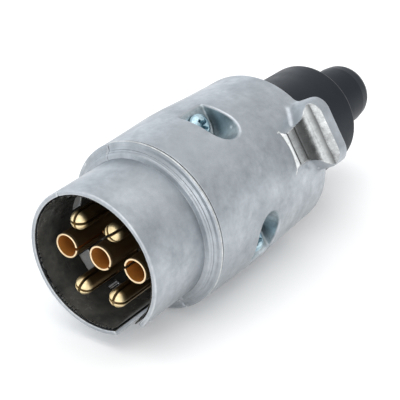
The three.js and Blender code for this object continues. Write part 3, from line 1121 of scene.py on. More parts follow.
@dataclass(frozen=True)
class Screw:
    """A screw about +Z with its head's underside at z = 0."""

    head_radius: float
    head_height: float
    radius: float
    length: float
    recess: Recess
    pitch: float = 1.1
    thread: float = 0.28
    thread_top: float = -0.8
    point: float = 0.6
    edge: float = 0.15
    slot_half: float = 0.35
    arm_half: float = 0.48
    cross_edge: float = 0.12

    def outline(self) -> list:
        """Gives the turned outline.

        Returns:
            The (along, radius) points, from the tip to the top of the domed head.
        """
        height, big = self.head_height, self.head_radius
        shank = [
            (-self.length, PAST_AXIS, 0), (-self.length, 0.7 * self.radius, 0.2),
            (-self.length + self.point, self.radius, 0.2), (0.0, self.radius, 0)]
        head = [
            (0.0, big, self.edge), (0.5 * height, big, 0.5 * height), (height, 0.62 * big, 0.9 * height),
            (height, PAST_AXIS, 0)]
        return rounded(shank + head, 5)

    def cross(self, place: Place) -> np.ndarray:
        """Measures the distance to the cross recess, which narrows on its way down.

        Args:
            place: Where to measure.

        Returns:
            The signed distance there, negative inside.
        """
        wide, tall = np.abs(place.x), np.abs(place.y)
        taper = 0.55 * (self.head_height - place.z)
        reach = np.maximum(wide, tall) - 0.60 * self.head_radius + taper
        arms = np.maximum(reach, np.minimum(wide, tall) - self.arm_half + 0.15 * taper)
        core = (wide + tall) * 0.707 - 0.36 * self.head_radius + taper
        return np.maximum(np.minimum(arms, core), 0.25 * self.head_height - place.z)

    def distance(self, place: Place) -> np.ndarray:
        """Measures the distance to the screw, with its thread and its recess.

        Args:
            place: Where to measure.

        Returns:
            The signed distance there, negative inside.
        """
        turns = place.z / self.pitch - np.arctan2(place.x, place.y) / (2 * math.pi)
        groove = 2 * np.abs(turns - np.floor(turns) - 0.5) * self.thread
        r = np.hypot(place.x, place.y) + np.where(place.z < self.thread_top, groove, 0.0)
        shape = polygon_distance(self.outline(), place.z, r)
        if self.recess is Recess.SLOT:
            slot = np.maximum(np.abs(place.y) - self.slot_half, 0.5 * self.head_height - place.z)
            return smooth_overlap(shape, -slot, self.edge)
        return smooth_overlap(shape, -self.cross(place), self.cross_edge)

    def build(self, name: str, seat: Matrix, finish: bpy.types.Material, body: str, slot: str, node: str) -> None:
        """Meshes the screw and sets it in its place.

        Args:
            name: The piece's name.
            seat: The turn and shift from about +Z to its place in the plug's frame.
            finish: Its material.
            body: The body it rides on.
            slot: The record's material slot; not used.
            node: The CAD node it stands for.
        """
        reach = self.head_radius + 0.4
        span = stretches((-reach, 0), (reach, 0.13))
        up = stretches((-self.length - 0.4, 0), (-0.3, 0.2), (self.head_height + 0.3, 0.1))
        shape = FieldMesher(self.distance, Grid(span, span, up)).mesh()
        add_piece(name, shape.turned(seat), (finish,), body, (node,))


# ---------------------------------------------------------------- the casing


class Side(Enum):
    """The two halves of the casing, by the sign of their z."""

    UPPER = 1
    LOWER = -1


class CastFace(Enum):
    """The finishes of the casing's faces, by their place among its materials."""

    TUMBLED = 0
    MACHINED = 1
    RAW = 2


@dataclass(frozen=True)
class Pocket:
    """A U-shaped pocket for a casing screw, open to the casing's side."""

    x: float = 15.9
    y: float = 44.5
    radius: float = 5.0
    wall: float = 2.0
    floor: float = 10.6

    def outline(self, place: Place) -> np.ndarray:
        """Measures the distance to both pockets' outlines, seen from above."""
        inward = np.maximum(self.x - np.abs(place.x), 0.0)
        return np.hypot(inward, place.y - self.y) - self.radius


@dataclass(frozen=True)
class Lug:
    """The latch lug: a cast block with a stepped catch cut in its front. Each corner ends with its rounding."""

    front: tuple = ((9.9, 10.0, 0), (9.9, 30.1, 4.6), (-9.9, 30.1, 4.6), (-9.9, 10.0, 0))
    plan: tuple = ((5.0, 58.6, 1.2), (4.6, 61.0, 1.5), (5.0, 64.9, 1.5), (9.9, 69.2, 2.0), (9.9, 74.1, 0.9))
    cut: tuple = (
        (50.0, 22.6, 0), (59.3, 22.6, 0.2), (60.2, 24.15, 0.2), (61.0, 23.7, 0.2), (64.8, 23.7, 0.5),
        (65.8, 26.2, 0.25), (67.5, 26.9, 0.4), (68.9, 28.3, 0.1), (70.3, 30.6, 0.1), (80.0, 30.6, 0),
        (80.0, 40.0, 0), (50.0, 40.0, 0))
    edge: float = 0.9
    cut_from: tuple[float, float] = (58.4, 22.6)
    cut_to: float = 70.35

    def block(self, place: Place) -> np.ndarray:
        """Measures the distance to the uncut block.

        Args:
            place: Where to measure.

        Returns:
            The signed distance there, negative inside.
        """
        front = polygon_distance(rounded(self.front, 8), place.x, place.z)
        half = list(self.plan)
        plan_corners = half + [(-x, y, rounding) for x, y, rounding in reversed(half)]
        plan = polygon_distance(rounded(plan_corners, 6), place.x, place.y)
        return smooth_overlap(front, plan, self.edge)

    def catch(self, place: Place) -> np.ndarray:
        """Measures the distance to the space that the cutter took away."""
        return polygon_distance(rounded(self.cut, 5), place.y, place.z)

    def machined(self, place: Place) -> np.ndarray:
        """Tells which places lie on what the cutter left.

        Args:
            place: Places on the casing's surface.

        Returns:
            Whether each place does.
        """
        first_y, first_z = self.cut_from
        on_cut = (np.abs(self.catch(place)) < 0.12) & (place.z > first_z)
        return on_cut & (place.y > first_y) & (place.y < self.cut_to)


@dataclass(frozen=True)
class Chip:
    """A place on the parting edge where it is rounded off more than elsewhere."""

    y: float
    reach: float
    depth: float

    def rounding(self, place: Place) -> np.ndarray:
        """Gives the rounding that the chip adds, fading away from its middle."""
        return self.depth * np.exp(-((place.y - self.y) / self.reach) ** 2)


@dataclass(frozen=True)
class Casing:
    """The die-cast casing as fields of distance, shared by its two halves."""

    pocket: Pocket = Pocket()
    lug: Lug = Lug()
    screw: Screw = Screw(3.4, 2.1, 1.75, 22.9, Recess.CROSS)
    rear: float = 74.1
    parting: float = 0.03
    parting_edge: float = 0.12
    collar_chip: Chip = Chip(21.9, 1.1, 0.9)
    rim_chip: Chip = Chip(0.2, 0.5, 0.5)
    keyway_half: float = 3.65
    keyway_end: float = 18.0
    keyway_floor: float = 12.0
    screw_x: float = 16.7
    screw_hole: float = 2.05
    screw_hole_bottom: float = -12.6
    boss: float = 3.7
    clamp_x: float = 10.5
    clamp_y: float = 62.0
    clamp_seat: float = -3.0
    clamp_post: float = 3.6
    clamp_hole_bottom: float = -10.6
    rest_half: float = 2.0
    rest_top: float = -5.3
    lug_zone: float = 22.0
    lug_foot: float = 1.3
    cutter_edge: float = 0.12
    inner_edge: float = 0.25
    inner_fillet: float = 0.4
    cover: float = 0.6
    pocket_edge: float = 0.7
    pocket_fillet: float = 0.8
    grid_turn: float = 0.37
    outside: tuple = (
        (0.0, -40.0, 0), (0.0, 20.0, 0.35), (20.3, 19.92, 0.15), (20.6, 21.15, 0.2), (20.95, 21.5, 0.05),
        (21.03, 21.43, 0.05), (21.4, 21.95, 0.05), (21.5, 21.88, 0.05), (22.0, 22.5, 0.1), (22.15, 23.3, 0.2),
        (22.5, 23.8, 0.18), (22.95, 23.8, 0.08), (23.05, 23.45, 0.05), (23.27, 23.45, 0.05), (23.36, 23.74, 0.05),
        (24.0, 23.76, 0), (28.0, 23.82, 0), (32.0, 23.89, 0), (36.0, 23.99, 0), (40.0, 24.09, 0), (44.0, 24.13, 0),
        (48.0, 24.02, 0), (52.0, 23.81, 0), (56.0, 23.58, 0), (60.0, 23.39, 0), (64.0, 23.22, 0), (68.0, 23.05, 0),
        (74.1, 22.93, 1.0), (74.1, -40.0, 0))
    inside: tuple = (
        (-5.0, -40.0, 0), (-5.0, 18.75, 0), (23.7, 18.75, 0.1), (23.7, 21.2, 0.1), (28.3, 21.2, 0.1),
        (28.3, 18.9, 0.2), (31.3, 18.9, 0.2), (31.3, 21.3, 0.4), (44.0, 21.5, 0), (60.0, 20.8, 0), (71.7, 20.4, 0.8),
        (71.7, 13.7, 0.2), (80.0, 13.7, 0), (80.0, -40.0, 0))
    # The collar's edge in this stretch takes the machined finish's bright tone, a painted highlight.
    lip_painted_highlight: tuple[float, float] = (22.42, 22.95)

    def skin(self, place: Place) -> np.ndarray:
        """Measures the distance to the turned outside."""
        return polygon_distance(rounded(self.outside, 4), place.y, place.r)

    def hollow(self, place: Place) -> np.ndarray:
        """Measures the distance to the turned inside."""
        return polygon_distance(rounded(self.inside, 3), place.y, place.r)

    def keyway(self, place: Place, flare: float) -> np.ndarray:
        """Measures the distance to the keyway's slot, whose mouth is flared."""
        slot = np.maximum(np.abs(place.z) - self.keyway_half, place.y - self.keyway_end)
        return np.maximum(smooth_union(slot, place.y, flare), self.keyway_floor - place.x)

    def column(self, place: Place, x: float, y: float, radius: float) -> np.ndarray:
        """Measures the distance to a pair of upright round columns at both sides."""
        return np.hypot(np.abs(place.x) - x, place.y - y) - radius

    def chipped(self, place: Place) -> np.ndarray:
        """Gives the rounding of the parting edge, which is chipped at the rim and at the collar."""
        return self.parting_edge + self.collar_chip.rounding(place) + self.rim_chip.rounding(place)

    def upper(self, place: Place) -> np.ndarray:
        """Measures the distance to the upper half, with its lug, its pockets and half of the keyway.

        Args:
            place: Where to measure.

        Returns:
            The signed distance there, negative inside.
        """
        skin = self.skin(place)
        pocket = self.pocket
        outline = pocket.outline(place)
        lugged = np.maximum(smooth_union(skin, self.lug.block(place), self.lug_foot), place.y - self.rear)
        raised = smooth_overlap(lugged, -self.lug.catch(place), self.cutter_edge)
        envelope = np.where(place.z > self.lug_zone, np.minimum(skin, raised), lugged)
        wall = smooth_overlap(envelope, -self.hollow(place), self.inner_edge)
        pan = smooth_overlap(outline - pocket.wall, pocket.floor - pocket.wall - place.z, self.inner_fillet)
        post = np.maximum(self.column(place, self.screw_x, pocket.y, self.boss), place.z - pocket.floor)
        inner = np.maximum(smooth_union(pan, post, 0.6), skin + self.cover)
        whole = smooth_union(wall, inner, self.inner_fillet)
        dug = smooth_overlap(outline, pocket.floor - place.z, self.pocket_fillet)
        drilled = self.column(place, self.screw_x, pocket.y, self.screw_hole)
        cut = np.maximum(smooth_overlap(whole, -dug, self.pocket_edge), -drilled)
        cut = smooth_overlap(cut, -self.keyway(place, flare=4.5), 0.3)
        return smooth_overlap(cut, self.parting - place.z, self.chipped(place))

    def lower(self, place: Place) -> np.ndarray:
        """Measures the distance to the lower half, with its tapped posts and the cable's rest.

        Args:
            place: Where to measure.

        Returns:
            The signed distance there, negative inside.
        """
        skin = self.skin(place)
        wall = smooth_overlap(skin, -self.hollow(place), self.inner_edge)
        post = self.column(place, self.screw_x, self.pocket.y, self.boss)
        clamp_column = self.column(place, self.clamp_x, self.clamp_y, self.clamp_post)
        clamp_post = np.maximum(clamp_column, place.z - self.clamp_seat)
        bar = np.maximum(np.abs(place.x) - self.clamp_x, np.abs(place.y - self.clamp_y) - self.rest_half)
        rest = np.maximum(bar, place.z - self.rest_top)
        inner = np.maximum(smooth_union(np.minimum(post, clamp_post), rest, 0.5), skin + self.cover)
        whole = smooth_union(wall, inner, self.inner_fillet)
        casing_column = self.column(place, self.screw_x, self.pocket.y, self.screw_hole)
        casing_hole = np.maximum(casing_column, self.screw_hole_bottom - place.z)
        clamp_hole = self.column(place, self.clamp_x, self.clamp_y, self.screw_hole)
        clamp_hole = np.maximum(clamp_hole, self.clamp_hole_bottom - place.z)
        cut = np.maximum(whole, -np.minimum(casing_hole, clamp_hole))
        cut = smooth_overlap(cut, -self.keyway(place, flare=0.4), 0.2)
        return smooth_overlap(cut, place.z + self.parting, self.chipped(place))

    def grid(self, side: Side) -> Grid:
        """Gives the bent grid that one half is meshed on, fine where its edges are.

        Args:
            side: The half.

        Returns:
            The grid, turned a little so that no two neighbouring points lie alike to the row's axes.
        """
        degrees = stretches(
            (-92.5, 0), (-91, 0.5), (-89, 0.2), (-86, 0.5), (86, 1.0), (89, 0.5), (91, 0.2), (92.5, 0.5))
        along = stretches(
            (-0.6, 0), (1.2, 0.2), (17.2, 0.8), (18.8, 0.25), (20.0, 0.3), (23.8, 0.1), (36.0, 0.6), (53.0, 0.4),
            (58.2, 0.6), (70.8, 0.14), (74.7, 0.2))
        top = 31.4 if side is Side.UPPER else 24.8
        radii = stretches((4.4, 0), (17.6, 0.8), (24.8, 0.3), (top, 0.45))
        start = self.grid_turn + (0.0 if side is Side.UPPER else 180.0)
        return Grid(np.radians(degrees + start), along, radii, bent=True)

    def finish_faces(self, shape: Shape) -> np.ndarray:
        """Picks each face's finish.

        Args:
            shape: Either half.

        Returns:
            The CastFace value of each face.
        """
        place = Place.of(shape.points[np.array(shape.faces)].mean(axis=1))
        depth = -self.skin(place)
        lip_from, lip_to = self.lip_painted_highlight
        inner_wall = (depth > 1.2) & (place.y > 24.0)
        above_floor = (depth > 0.35) & (place.z > self.pocket.floor - 0.5)
        # The lip gets the machined finish as a painted highlight.
        on_lip_highlight = (place.y > lip_from) & (place.y < lip_to) & (depth < 0.6) & (place.z > 0)
        finish = np.full(len(shape.faces), CastFace.TUMBLED.value)
        finish[inner_wall | ((self.pocket.outline(place) < 0.2) & above_floor)] = CastFace.RAW.value
        # The lug's cut and the lip take the machined finish with its painted highlights and shadows.
        finish[self.lug.machined(place) | on_lip_highlight] = CastFace.MACHINED.value
        return finish

    def build(self, finishes: Finishes) -> None:
        """Meshes and dresses both halves.

        Args:
            finishes: The plug's materials.
        """
        upper = FieldMesher(self.upper, self.grid(Side.UPPER)).mesh()
        metals = (finishes.cast, finishes.machined, finishes.raw)
        add_piece("cast_upper_half", upper, metals, "upper_casing", ("upper_shell",),
                  self.finish_faces(upper))
        lower = FieldMesher(self.lower, self.grid(Side.LOWER)).mesh()
        add_piece("cast_lower_half", lower, metals, "plug_body", ("lower_shell",), self.finish_faces(lower))

    def build_screws(self, finishes: Finishes) -> None:
        """Builds the two screws that hold the halves together, each turned its own way.

        Args:
            finishes: The plug's materials.
        """
        for name, side, turn in (("left", -1, 0.5), ("right", 1, 0.9)):
            seat = Matrix.Translation((side * self.screw_x, self.pocket.y, self.pocket.floor + SCREW_GAP))
            self.screw.build(
                f"{name}_half_screw", seat @ Matrix.Rotation(turn, 4, "Z"), finishes.zinc, f"{name}_casing_screw",
                "blue_zinc", f"casing_screw_{name}")


# ---------------------------------------------------------------- contacts and their carrier


class Form(Enum):
    """The two kinds of contact."""

    PIN = "pin"
    TUBE = "tube"


@dataclass(frozen=True)
class Contact:
    """One brass contact with its screw terminal. Its angle is measured clockwise from the lug."""

    name: str
    form: Form
    angle: float
    slit: float = 0.0
    circle: float = 11.0
    terminal_end: float = 39.3
    screw_at: float = 34.5
    screw: Screw = Screw(2.5, 2.0, 1.5, 1.8, Recess.SLOT)
    shoulder: float = 30.3
    pin_radius: float = 2.5
    pin_front: float = 0.7
    pin_nose: float = 2.48
    tube_radius: float = 3.45
    tube_bore: float = 2.9
    tube_front: float = 3.3
    tube_depth: float = 22.0
    terminal_radius: float = 3.8
    wire_bore: float = 1.8
    wire_depth: float = 31.9
    slit_half: float = 0.36
    slit_end: float = 14.0
    slit_edge: float = 0.16

    @property
    def node(self) -> str:
        """The CAD node that it stands for."""
        return f"{self.form.value}_{self.name}"

    def outline(self) -> list:
        """Gives the turned outline.

        Returns:
            The (along, radius) points, round the wire's bore, the terminal and the pin or the tube.
        """
        bore = [(self.wire_depth, PAST_AXIS, 0), (self.wire_depth, self.wire_bore, 0.3),
                (self.terminal_end, self.wire_bore, 0.3)]
        back = [(self.terminal_end, self.terminal_radius, 0.4), (self.shoulder, self.terminal_radius, 0.3)]
        if self.form is Form.PIN:
            nose = [(self.shoulder, self.pin_radius, 0), (self.pin_front, self.pin_radius, self.pin_nose),
                    (self.pin_front, PAST_AXIS, 0)]
            return rounded(bore + back + nose, 12)
        lips = [(self.shoulder, self.tube_radius, 0), (self.tube_front, self.tube_radius, 0.2),
                (self.tube_front, self.tube_bore, 0.2), (self.tube_depth, self.tube_bore, 0.1),
                (self.tube_depth, PAST_AXIS, 0)]
        return rounded(bore + back + lips, 5)

    def distance(self, place: Place) -> np.ndarray:
        """Measures the distance to the contact about its own axis, with its slit and its tapped hole.

        Args:
            place: Where to measure.

        Returns:
            The signed distance there, negative inside.
        """
        shape = polygon_distance(self.outline(), place.y, place.r)
        tapped = np.maximum(np.hypot(place.x, place.y - self.screw_at) - 1.8, 0.2 - place.z)
        shape = smooth_overlap(shape, -tapped, 0.15)
        turn = math.radians(self.slit)
        across = place.x * math.cos(turn) - place.z * math.sin(turn)
        along = place.x * math.sin(turn) + place.z * math.cos(turn)
        if self.form is Form.PIN:
            saw = np.minimum(np.abs(across), np.abs(along)) - self.slit_half
        else:
            saw = np.maximum(np.abs(across) - self.slit_half, along)
        return smooth_overlap(shape, -np.maximum(saw, place.y - self.slit_end), self.slit_edge)

    def in_bore(self, shape: Shape) -> np.ndarray:
        """Tells which faces lie in a tube's bore.

        Args:
            shape: The contact about its own axis.

        Returns:
            Whether each face does, which none of a pin's does.
        """
        middles = np.array([shape.points[face].mean(axis=0) for face in shape.faces])
        looks_in = (np.hypot(middles[:, 0], middles[:, 2]) < self.tube_bore + 0.12) & (middles[:, 1] > 3.6)
        return looks_in & (middles[:, 1] < self.tube_depth + 1.0) & (self.form is Form.TUBE)

    def build(self, finishes: Finishes) -> None:
        """Meshes the contact and its terminal screw, and dresses them.

        Args:
            finishes: The plug's materials.
        """
        span = stretches((-4.2, 0), (4.2, 0.15))
        along = stretches(
            (0.3, 0), (4.2, 0.15), (13.4, 0.9), (14.6, 0.2), (29.8, 1.2), (31.0, 0.2), (self.terminal_end - 1, 0.3),
            (self.terminal_end + 0.5, 0.2))
        shape = FieldMesher(self.distance, Grid(span, along, span)).mesh()
        seat = around(self.angle) @ Matrix.Translation((0.0, 0.0, self.circle))
        outer = finishes.pin_brass if self.form is Form.PIN else finishes.tube_brass
        # The tubes' bores take the brass with painted shade.
        metals = (outer, finishes.bore_brass_in_shade)
        add_piece(f"brass_{self.node}", shape.turned(seat), metals, "plug_body", (self.node,),
                  self.in_bore(shape))
        up = Matrix.Translation((0.0, self.screw_at, self.circle + self.terminal_radius + SCREW_GAP))
        self.screw.build(
            f"{self.name}_wire_screw", around(self.angle) @ up, finishes.nickel, f"{self.name}_terminal_screw",
            "nickel_steel", f"terminal_screw_{self.name}")


@dataclass(frozen=True)
class Window:
    """An opening in the sleeve where the casing's metal shows, in degrees round it and millimetres along it."""

    middle: float
    half: float
    start: float
    end: float
    barred: bool = False

    def off(self, place: Place) -> np.ndarray:
        """Gives how many degrees a place lies from the window's middle."""
        angle = np.degrees(np.arctan2(place.x, place.z))
        return (angle - self.middle + 180.0) % 360.0 - 180.0


@dataclass(frozen=True)
class Insert:
    """The black moulding that holds the contacts, with the sleeve that lines the barrel."""

    contacts: tuple
    outline: tuple = (
        (22.0, -40.0, 0), (22.0, 17.45, 0.8), (5.0, 17.5, 2.0), (0.45, 18.2, 0.1), (0.45, 18.45, 0.1),
        (24.0, 18.45, 0), (24.0, 20.9, 0.3), (28.0, 20.9, 0.3), (28.0, 18.6, 0), (30.0, 18.6, 0.4), (30.0, -40.0, 0))
    windows: tuple = (
        Window(171.0, 9.0, 12.6, 16.2), Window(-130.5, 7.5, 13.3, 16.6), Window(140.0, 4.5, 13.6, 17.1, barred=True))
    window_floor: float = 17.9
    clearance: float = 0.12
    slot_half: float = 3.65
    slot_end: float = 18.0
    slot_floor: float = 14.0

    def distance(self, place: Place) -> np.ndarray:
        """Measures the distance to the moulding, with its holes, its keyway slot and its windows.

        Args:
            place: Where to measure.

        Returns:
            The signed distance there, negative inside.
        """
        shape = polygon_distance(rounded(self.outline, 4), place.y, place.r)
        for contact in self.contacts:
            turn = math.radians(contact.angle)
            x, z = contact.circle * math.sin(turn), contact.circle * math.cos(turn)
            radius = contact.pin_radius if contact.form is Form.PIN else contact.tube_radius
            hole = np.hypot(place.x - x, place.z - z) - radius - self.clearance
            shape = smooth_overlap(shape, -hole, 0.5)
        slot = np.maximum(np.abs(place.z) - self.slot_half, place.y - self.slot_end)
        shape = smooth_overlap(shape, -np.maximum(slot, self.slot_floor - place.x), 0.3)
        for window in self.windows:
            off = np.radians(np.abs(window.off(place)) - window.half) * 18.0
            middle, half = (window.start + window.end) / 2, (window.end - window.start) / 2
            opening = np.maximum(off, np.abs(place.y - middle) - half)
            opening = np.maximum(np.maximum(opening, 12.0 - place.r), place.r - self.window_floor)
            shape = smooth_overlap(shape, -opening, 0.15)
        return shape

    def finish_faces(self, shape: Shape) -> np.ndarray:
        """Picks each face's finish.

        Args:
            shape: The moulding.

        Returns:
            1 for each face where the casing's metal shows in a window, else 0.
        """
        place = Place.of(shape.points[np.array(shape.faces)].mean(axis=1))
        finish = np.zeros(len(shape.faces), int)
        for window in self.windows:
            off = window.off(place)
            seen = (np.abs(off) < window.half) & (place.y > window.start) & (place.y < window.end)
            seen &= (place.r > self.window_floor - 0.3) & (place.r < self.window_floor + 0.2)
            finish[seen & (not window.barred or np.floor(off / 1.1) % 2 == 0)] = 1
        return finish

    def build(self, finishes: Finishes) -> None:
        """Meshes and dresses the moulding.

        Args:
            finishes: The plug's materials.
        """
        span = stretches((-21.5, 0), (21.5, 0.34))
        along = stretches(
            (0.1, 0), (1.1, 0.2), (12.2, 1.0), (17.0, 0.25), (18.8, 0.25), (21.2, 0.6), (30.6, 0.25))
        shape = FieldMesher(self.distance, Grid(span, along, span)).mesh()
        add_piece("moulded_insert", shape, (finishes.moulding, finishes.window), "plug_body",
                  ("contact_insert",), self.finish_faces(shape))


# ---------------------------------------------------------------- clamp and boot


@dataclass(frozen=True)
class Clamp:
    """The pressed strap that holds the cable down, with its two screws."""

    y: float = 62.0
    half_width: float = 4.0
    half_span: float = 14.3
    bottom: float = -2.7
    thickness: float = 1.6
    arch: float = 5.3
    bend: float = 1.2
    corner: float = 2.0
    edge: float = 0.35
    hole_x: float = 10.5
    hole: float = 2.05
    hole_edge: float = 0.2
    screw: Screw = Screw(3.0, 1.9, 1.75, 9.2, Recess.CROSS)

    def distance(self, place: Place) -> np.ndarray:
        """Measures the distance to the strap.

        Args:
            place: Where to measure.

        Returns:
            The signed distance there, negative inside.
        """
        half = self.thickness / 2
        arc = np.hypot(place.x, np.maximum(place.z, 0.0))
        hoop = np.maximum(np.abs(arc - self.arch - half) - half, self.bottom - place.z)
        feet = np.maximum(np.abs(place.z - self.bottom - half) - half, self.arch - np.abs(place.x))
        feet = np.maximum(feet, np.abs(place.x) - self.half_span)
        strap = smooth_union(hoop, feet, self.bend)
        beyond = np.abs(place.y - self.y) - self.half_width
        corner_x = np.maximum(np.abs(place.x) - self.half_span + self.corner, 0.0)
        plan = np.hypot(corner_x, np.maximum(beyond + self.corner, 0.0)) - self.corner
        strap = smooth_overlap(strap, np.maximum(plan, beyond), self.edge)
        holes = np.hypot(np.abs(place.x) - self.hole_x, place.y - self.y) - self.hole
        return smooth_overlap(strap, -holes, self.hole_edge)

    def build(self, finishes: Finishes) -> None:
        """Meshes the strap and both of its screws, and dresses them.

        Args:
            finishes: The plug's materials.
        """
        across = stretches((-14.8, 0), (14.8, 0.25))
        along = stretches((self.y - 4.5, 0), (self.y + 4.5, 0.25))
        up = stretches((-3.3, 0), (7.4, 0.22))
        shape = FieldMesher(self.distance, Grid(across, along, up)).mesh()
        add_piece("cable_strap", shape, (finishes.nickel,), "clamp_strap", ("cable_clamp",))
        seat_z = self.bottom + self.thickness + SCREW_GAP
        for name, side, turn in (("left", -1, 0.3), ("right", 1, 1.1)):
            seat = Matrix.Translation((side * self.hole_x, self.y, seat_z)) @ Matrix.Rotation(turn, 4, "Z")
            self.screw.build(
                f"{name}_strap_screw", seat, finishes.zinc, f"{name}_clamp_screw", "blue_zinc", f"clamp_screw_{name}")


@dataclass(frozen=True)
class Boot:
    """The rubber boot, turned: inner flange, neck, drum and cable nozzle."""

    steps: int = 144
    stretch: float = 1.5
    crease: float = 50.0
    profile: tuple = (
        (68.0, 10.8, 0.3), (68.0, 16.5, 0.4), (71.4, 16.5, 0.2), (71.4, 13.4, 0.1), (74.4, 13.4, 0.1),
        (74.4, 17.0, 0.5), (84.0, 16.5, 8.0), (92.0, 16.1, 8.0), (97.0, 15.95, 3.0), (101.2, 15.85, 1.2),
        (102.05, 14.75, 0.25), (102.3, 14.7, 0.1), (102.3, 9.55, 0.7), (110.0, 9.25, 0), (118.0, 9.08, 1.5),
        (120.9, 8.65, 1.5), (122.4, 8.0, 0.7), (122.4, 5.0, 0.5), (105.0, 5.0, 0.3), (99.5, 12.9, 1.0),
        (77.5, 13.6, 1.0), (75.6, 10.8, 0.3))

    def build(self, finishes: Finishes) -> None:
        """Turns and dresses the boot.

        Args:
            finishes: The plug's materials.
        """
        outline = rounded(self.profile, 6)
        fine = []
        for (y, r), (next_y, next_r) in zip(outline, outline[1:] + outline[:1]):
            pieces = max(1, round(math.hypot(next_y - y, next_r - r) / self.stretch))
            fine += [(y + (next_y - y) * i / pieces, r + (next_r - r) * i / pieces) for i in range(pieces)]
        add_piece("boot", turned(fine, self.steps), (finishes.rubber,), "plug_body", ("rubber_boot",),
                  crease=self.crease)


# ---------------------------------------------------------------- the whole plug


@dataclass(frozen=True)
class TrailerPlug:
    """The whole plug."""

    casing: Casing = Casing()
    contacts: tuple = (
        Contact("upper_left", Form.PIN, -90.0, slit=30.0),
        Contact("upper_right", Form.PIN, -30.0, slit=24.0),
        Contact("right", Form.TUBE, 30.0),
        Contact("lower_right", Form.PIN, 90.0, slit=40.0),
        Contact("lower_left", Form.PIN, 150.0, slit=-11.0),
        Contact("left", Form.TUBE, -150.0),
        Contact("centre", Form.TUBE, 0.0, slit=-115.0, circle=0.0, terminal_end=46.0, screw_at=42.5))

    def build(self, finishes: Finishes) -> None:
        """Builds every piece in order, from the casing to the boot.

        Args:
            finishes: The plug's materials.
        """
        self.casing.build(finishes)
        Insert(self.contacts).build(finishes)
        for contact in self.contacts:
            contact.build(finishes)
        self.casing.build_screws(finishes)
        Clamp().build(finishes)
        Boot().build(finishes)


# ---------------------------------------------------------------- studio


@dataclass(frozen=True)
class AreaLight:
    """A soft rectangular light that looks at the plug."""

    name: str
    place: tuple[float, float, float]
    size: tuple[float, float]
    power: float

    def build(self, target: Vector) -> None:
        """Hangs the light.

        Args:
            target: The place that it looks at.
        """
        data = bpy.data.lights.new(self.name, "AREA")
        data.shape = "RECTANGLE"
        data.size, data.size_y = self.size
        data.energy = self.power
        lamp = bpy.data.objects.new(self.name, data)
        lamp.location = self.place
        lamp.rotation_euler = (target - lamp.location).to_track_quat("-Z", "Y").to_euler()
        bpy.context.scene.collection.objects.link(lamp)


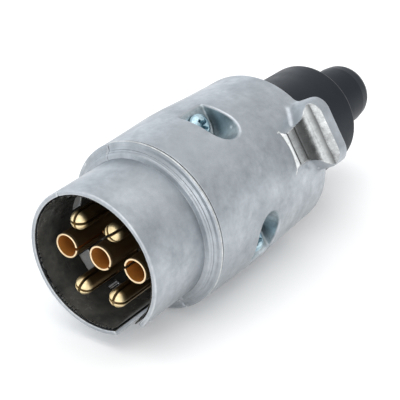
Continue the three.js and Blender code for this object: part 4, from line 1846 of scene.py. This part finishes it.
@dataclass(frozen=True)
class Studio:
    """A pale floor, a soft surround, soft lights and the camera. Lengths are metres in the row's frame."""

    camera_place: tuple[float, float, float] = (0.19876, -0.28696, 0.20829)
    right: tuple[float, float, float] = (0.81121, 0.58430, -0.02285)
    up: tuple[float, float, float] = (-0.26728, 0.40528, 0.87424)
    lens: float = 128.09
    sensor: float = 36.0
    floor_drop: float = 0.00015
    floor_rings: tuple = ((1.0, 0.0), (2.0, 0.0), (3.0, 0.02))
    floor_steps: int = 96
    floor_colour: Colour = (0.90, 0.90, 0.90, 1.0)
    floor_glow: float = 0.10
    low_sky: Colour = (1.04, 1.06, 1.09, 1.0)
    high_sky: Colour = (0.86, 0.87, 0.87, 1.0)
    side_sky: Colour = (1.50, 1.56, 1.64, 1.0)
    sky_strength: float = 0.95
    lights: tuple = (
        AreaLight("overhead_softbox", (0.05, 0.0, 0.70), (0.9, 0.9), 2.9),
        AreaLight("front_softbox", (0.30, -0.70, 0.30), (0.5, 0.4), 0.9))

    def build_floor(self) -> None:
        """Lays a wide pale floor of rings, its edge turned down well out of sight."""
        steps = self.floor_steps
        turns = [2 * math.pi * step / steps for step in range(steps)]
        points = [(0.0, 0.0, -self.floor_drop)]
        for radius, drop in self.floor_rings:
            points += [(radius * math.cos(a), radius * math.sin(a), -self.floor_drop - drop) for a in turns]
        faces = [(0, 1 + step, 1 + (step + 1) % steps) for step in range(steps)]
        for ring in range(len(self.floor_rings) - 1):
            inner, outer = 1 + ring * steps, 1 + (ring + 1) * steps
            for step in range(steps):
                after = (step + 1) % steps
                faces.append((inner + step, outer + step, outer + after, inner + after))
        mesh = bpy.data.meshes.new("studio_floor")
        mesh.from_pydata(points, [], faces)
        floor = bpy.data.objects.new("studio_floor", mesh)
        bpy.context.scene.collection.objects.link(floor)
        skin = Skin("pale_floor")
        skin.set(Base_Color=self.floor_colour, Roughness=0.9, Specular_IOR_Level=0.1)
        skin.set(Emission_Color=(1.0, 1.0, 1.0, 1.0), Emission_Strength=self.floor_glow)
        mesh.materials.append(skin.material)
        floor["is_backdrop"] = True

    def build_world(self) -> None:
        """Surrounds the plug with a soft light, brighter low down and towards -X."""
        world = bpy.data.worlds.new("studio_surround")
        world.use_nodes = True
        tree = Tree(world.node_tree)
        direction = tree.add("ShaderNodeTexCoord").outputs["Generated"]
        apart = tree.add("ShaderNodeSeparateXYZ")
        tree.feed(apart.inputs[0], direction)
        level = tree.spread(apart.outputs["Z"], 0.0, 0.6)
        overall = tree.mix(level, self.low_sky, self.high_sky)
        toward_side = tree.spread(apart.outputs["X"], 0.2, -0.75)
        side = tree.math("MULTIPLY", toward_side, tree.spread(level, 0.2, 1.0, 1.0, 0.2))
        backdrop = world.node_tree.nodes["Background"]
        tree.feed(backdrop.inputs["Color"], tree.mix(side, overall, self.side_sky))
        backdrop.inputs["Strength"].default_value = self.sky_strength
        bpy.context.scene.world = world

    def build_camera(self) -> None:
        """Sets the camera above and before the mouth, to the right of it."""
        data = bpy.data.cameras.new("studio_camera")
        data.lens = self.lens
        data.sensor_width = self.sensor
        data.clip_start = 0.01
        camera = bpy.data.objects.new("studio_camera", data)
        right, up = Vector(self.right), Vector(self.up)
        turn = Matrix((right, up, right.cross(up))).transposed().to_4x4()
        camera.matrix_world = Matrix.Translation(self.camera_place) @ turn
        bpy.context.scene.collection.objects.link(camera)
        bpy.context.scene.camera = camera

    def build(self) -> None:
        """Sets up the whole studio."""
        self.build_floor()
        self.build_world()
        low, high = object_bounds()
        middle = (Vector(low) + Vector(high)) / 2
        for light in self.lights:
            light.build(middle)
        self.build_camera()
        bpy.context.scene.view_settings.view_transform = "Standard"


def main() -> None:
    """Builds the plug and the studio."""
    logging.basicConfig(level=logging.INFO, format="%(name)s: %(message)s")
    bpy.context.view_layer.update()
    TrailerPlug().build(Finishes())
    Studio().build()


if __name__ == "__main__":
    main()
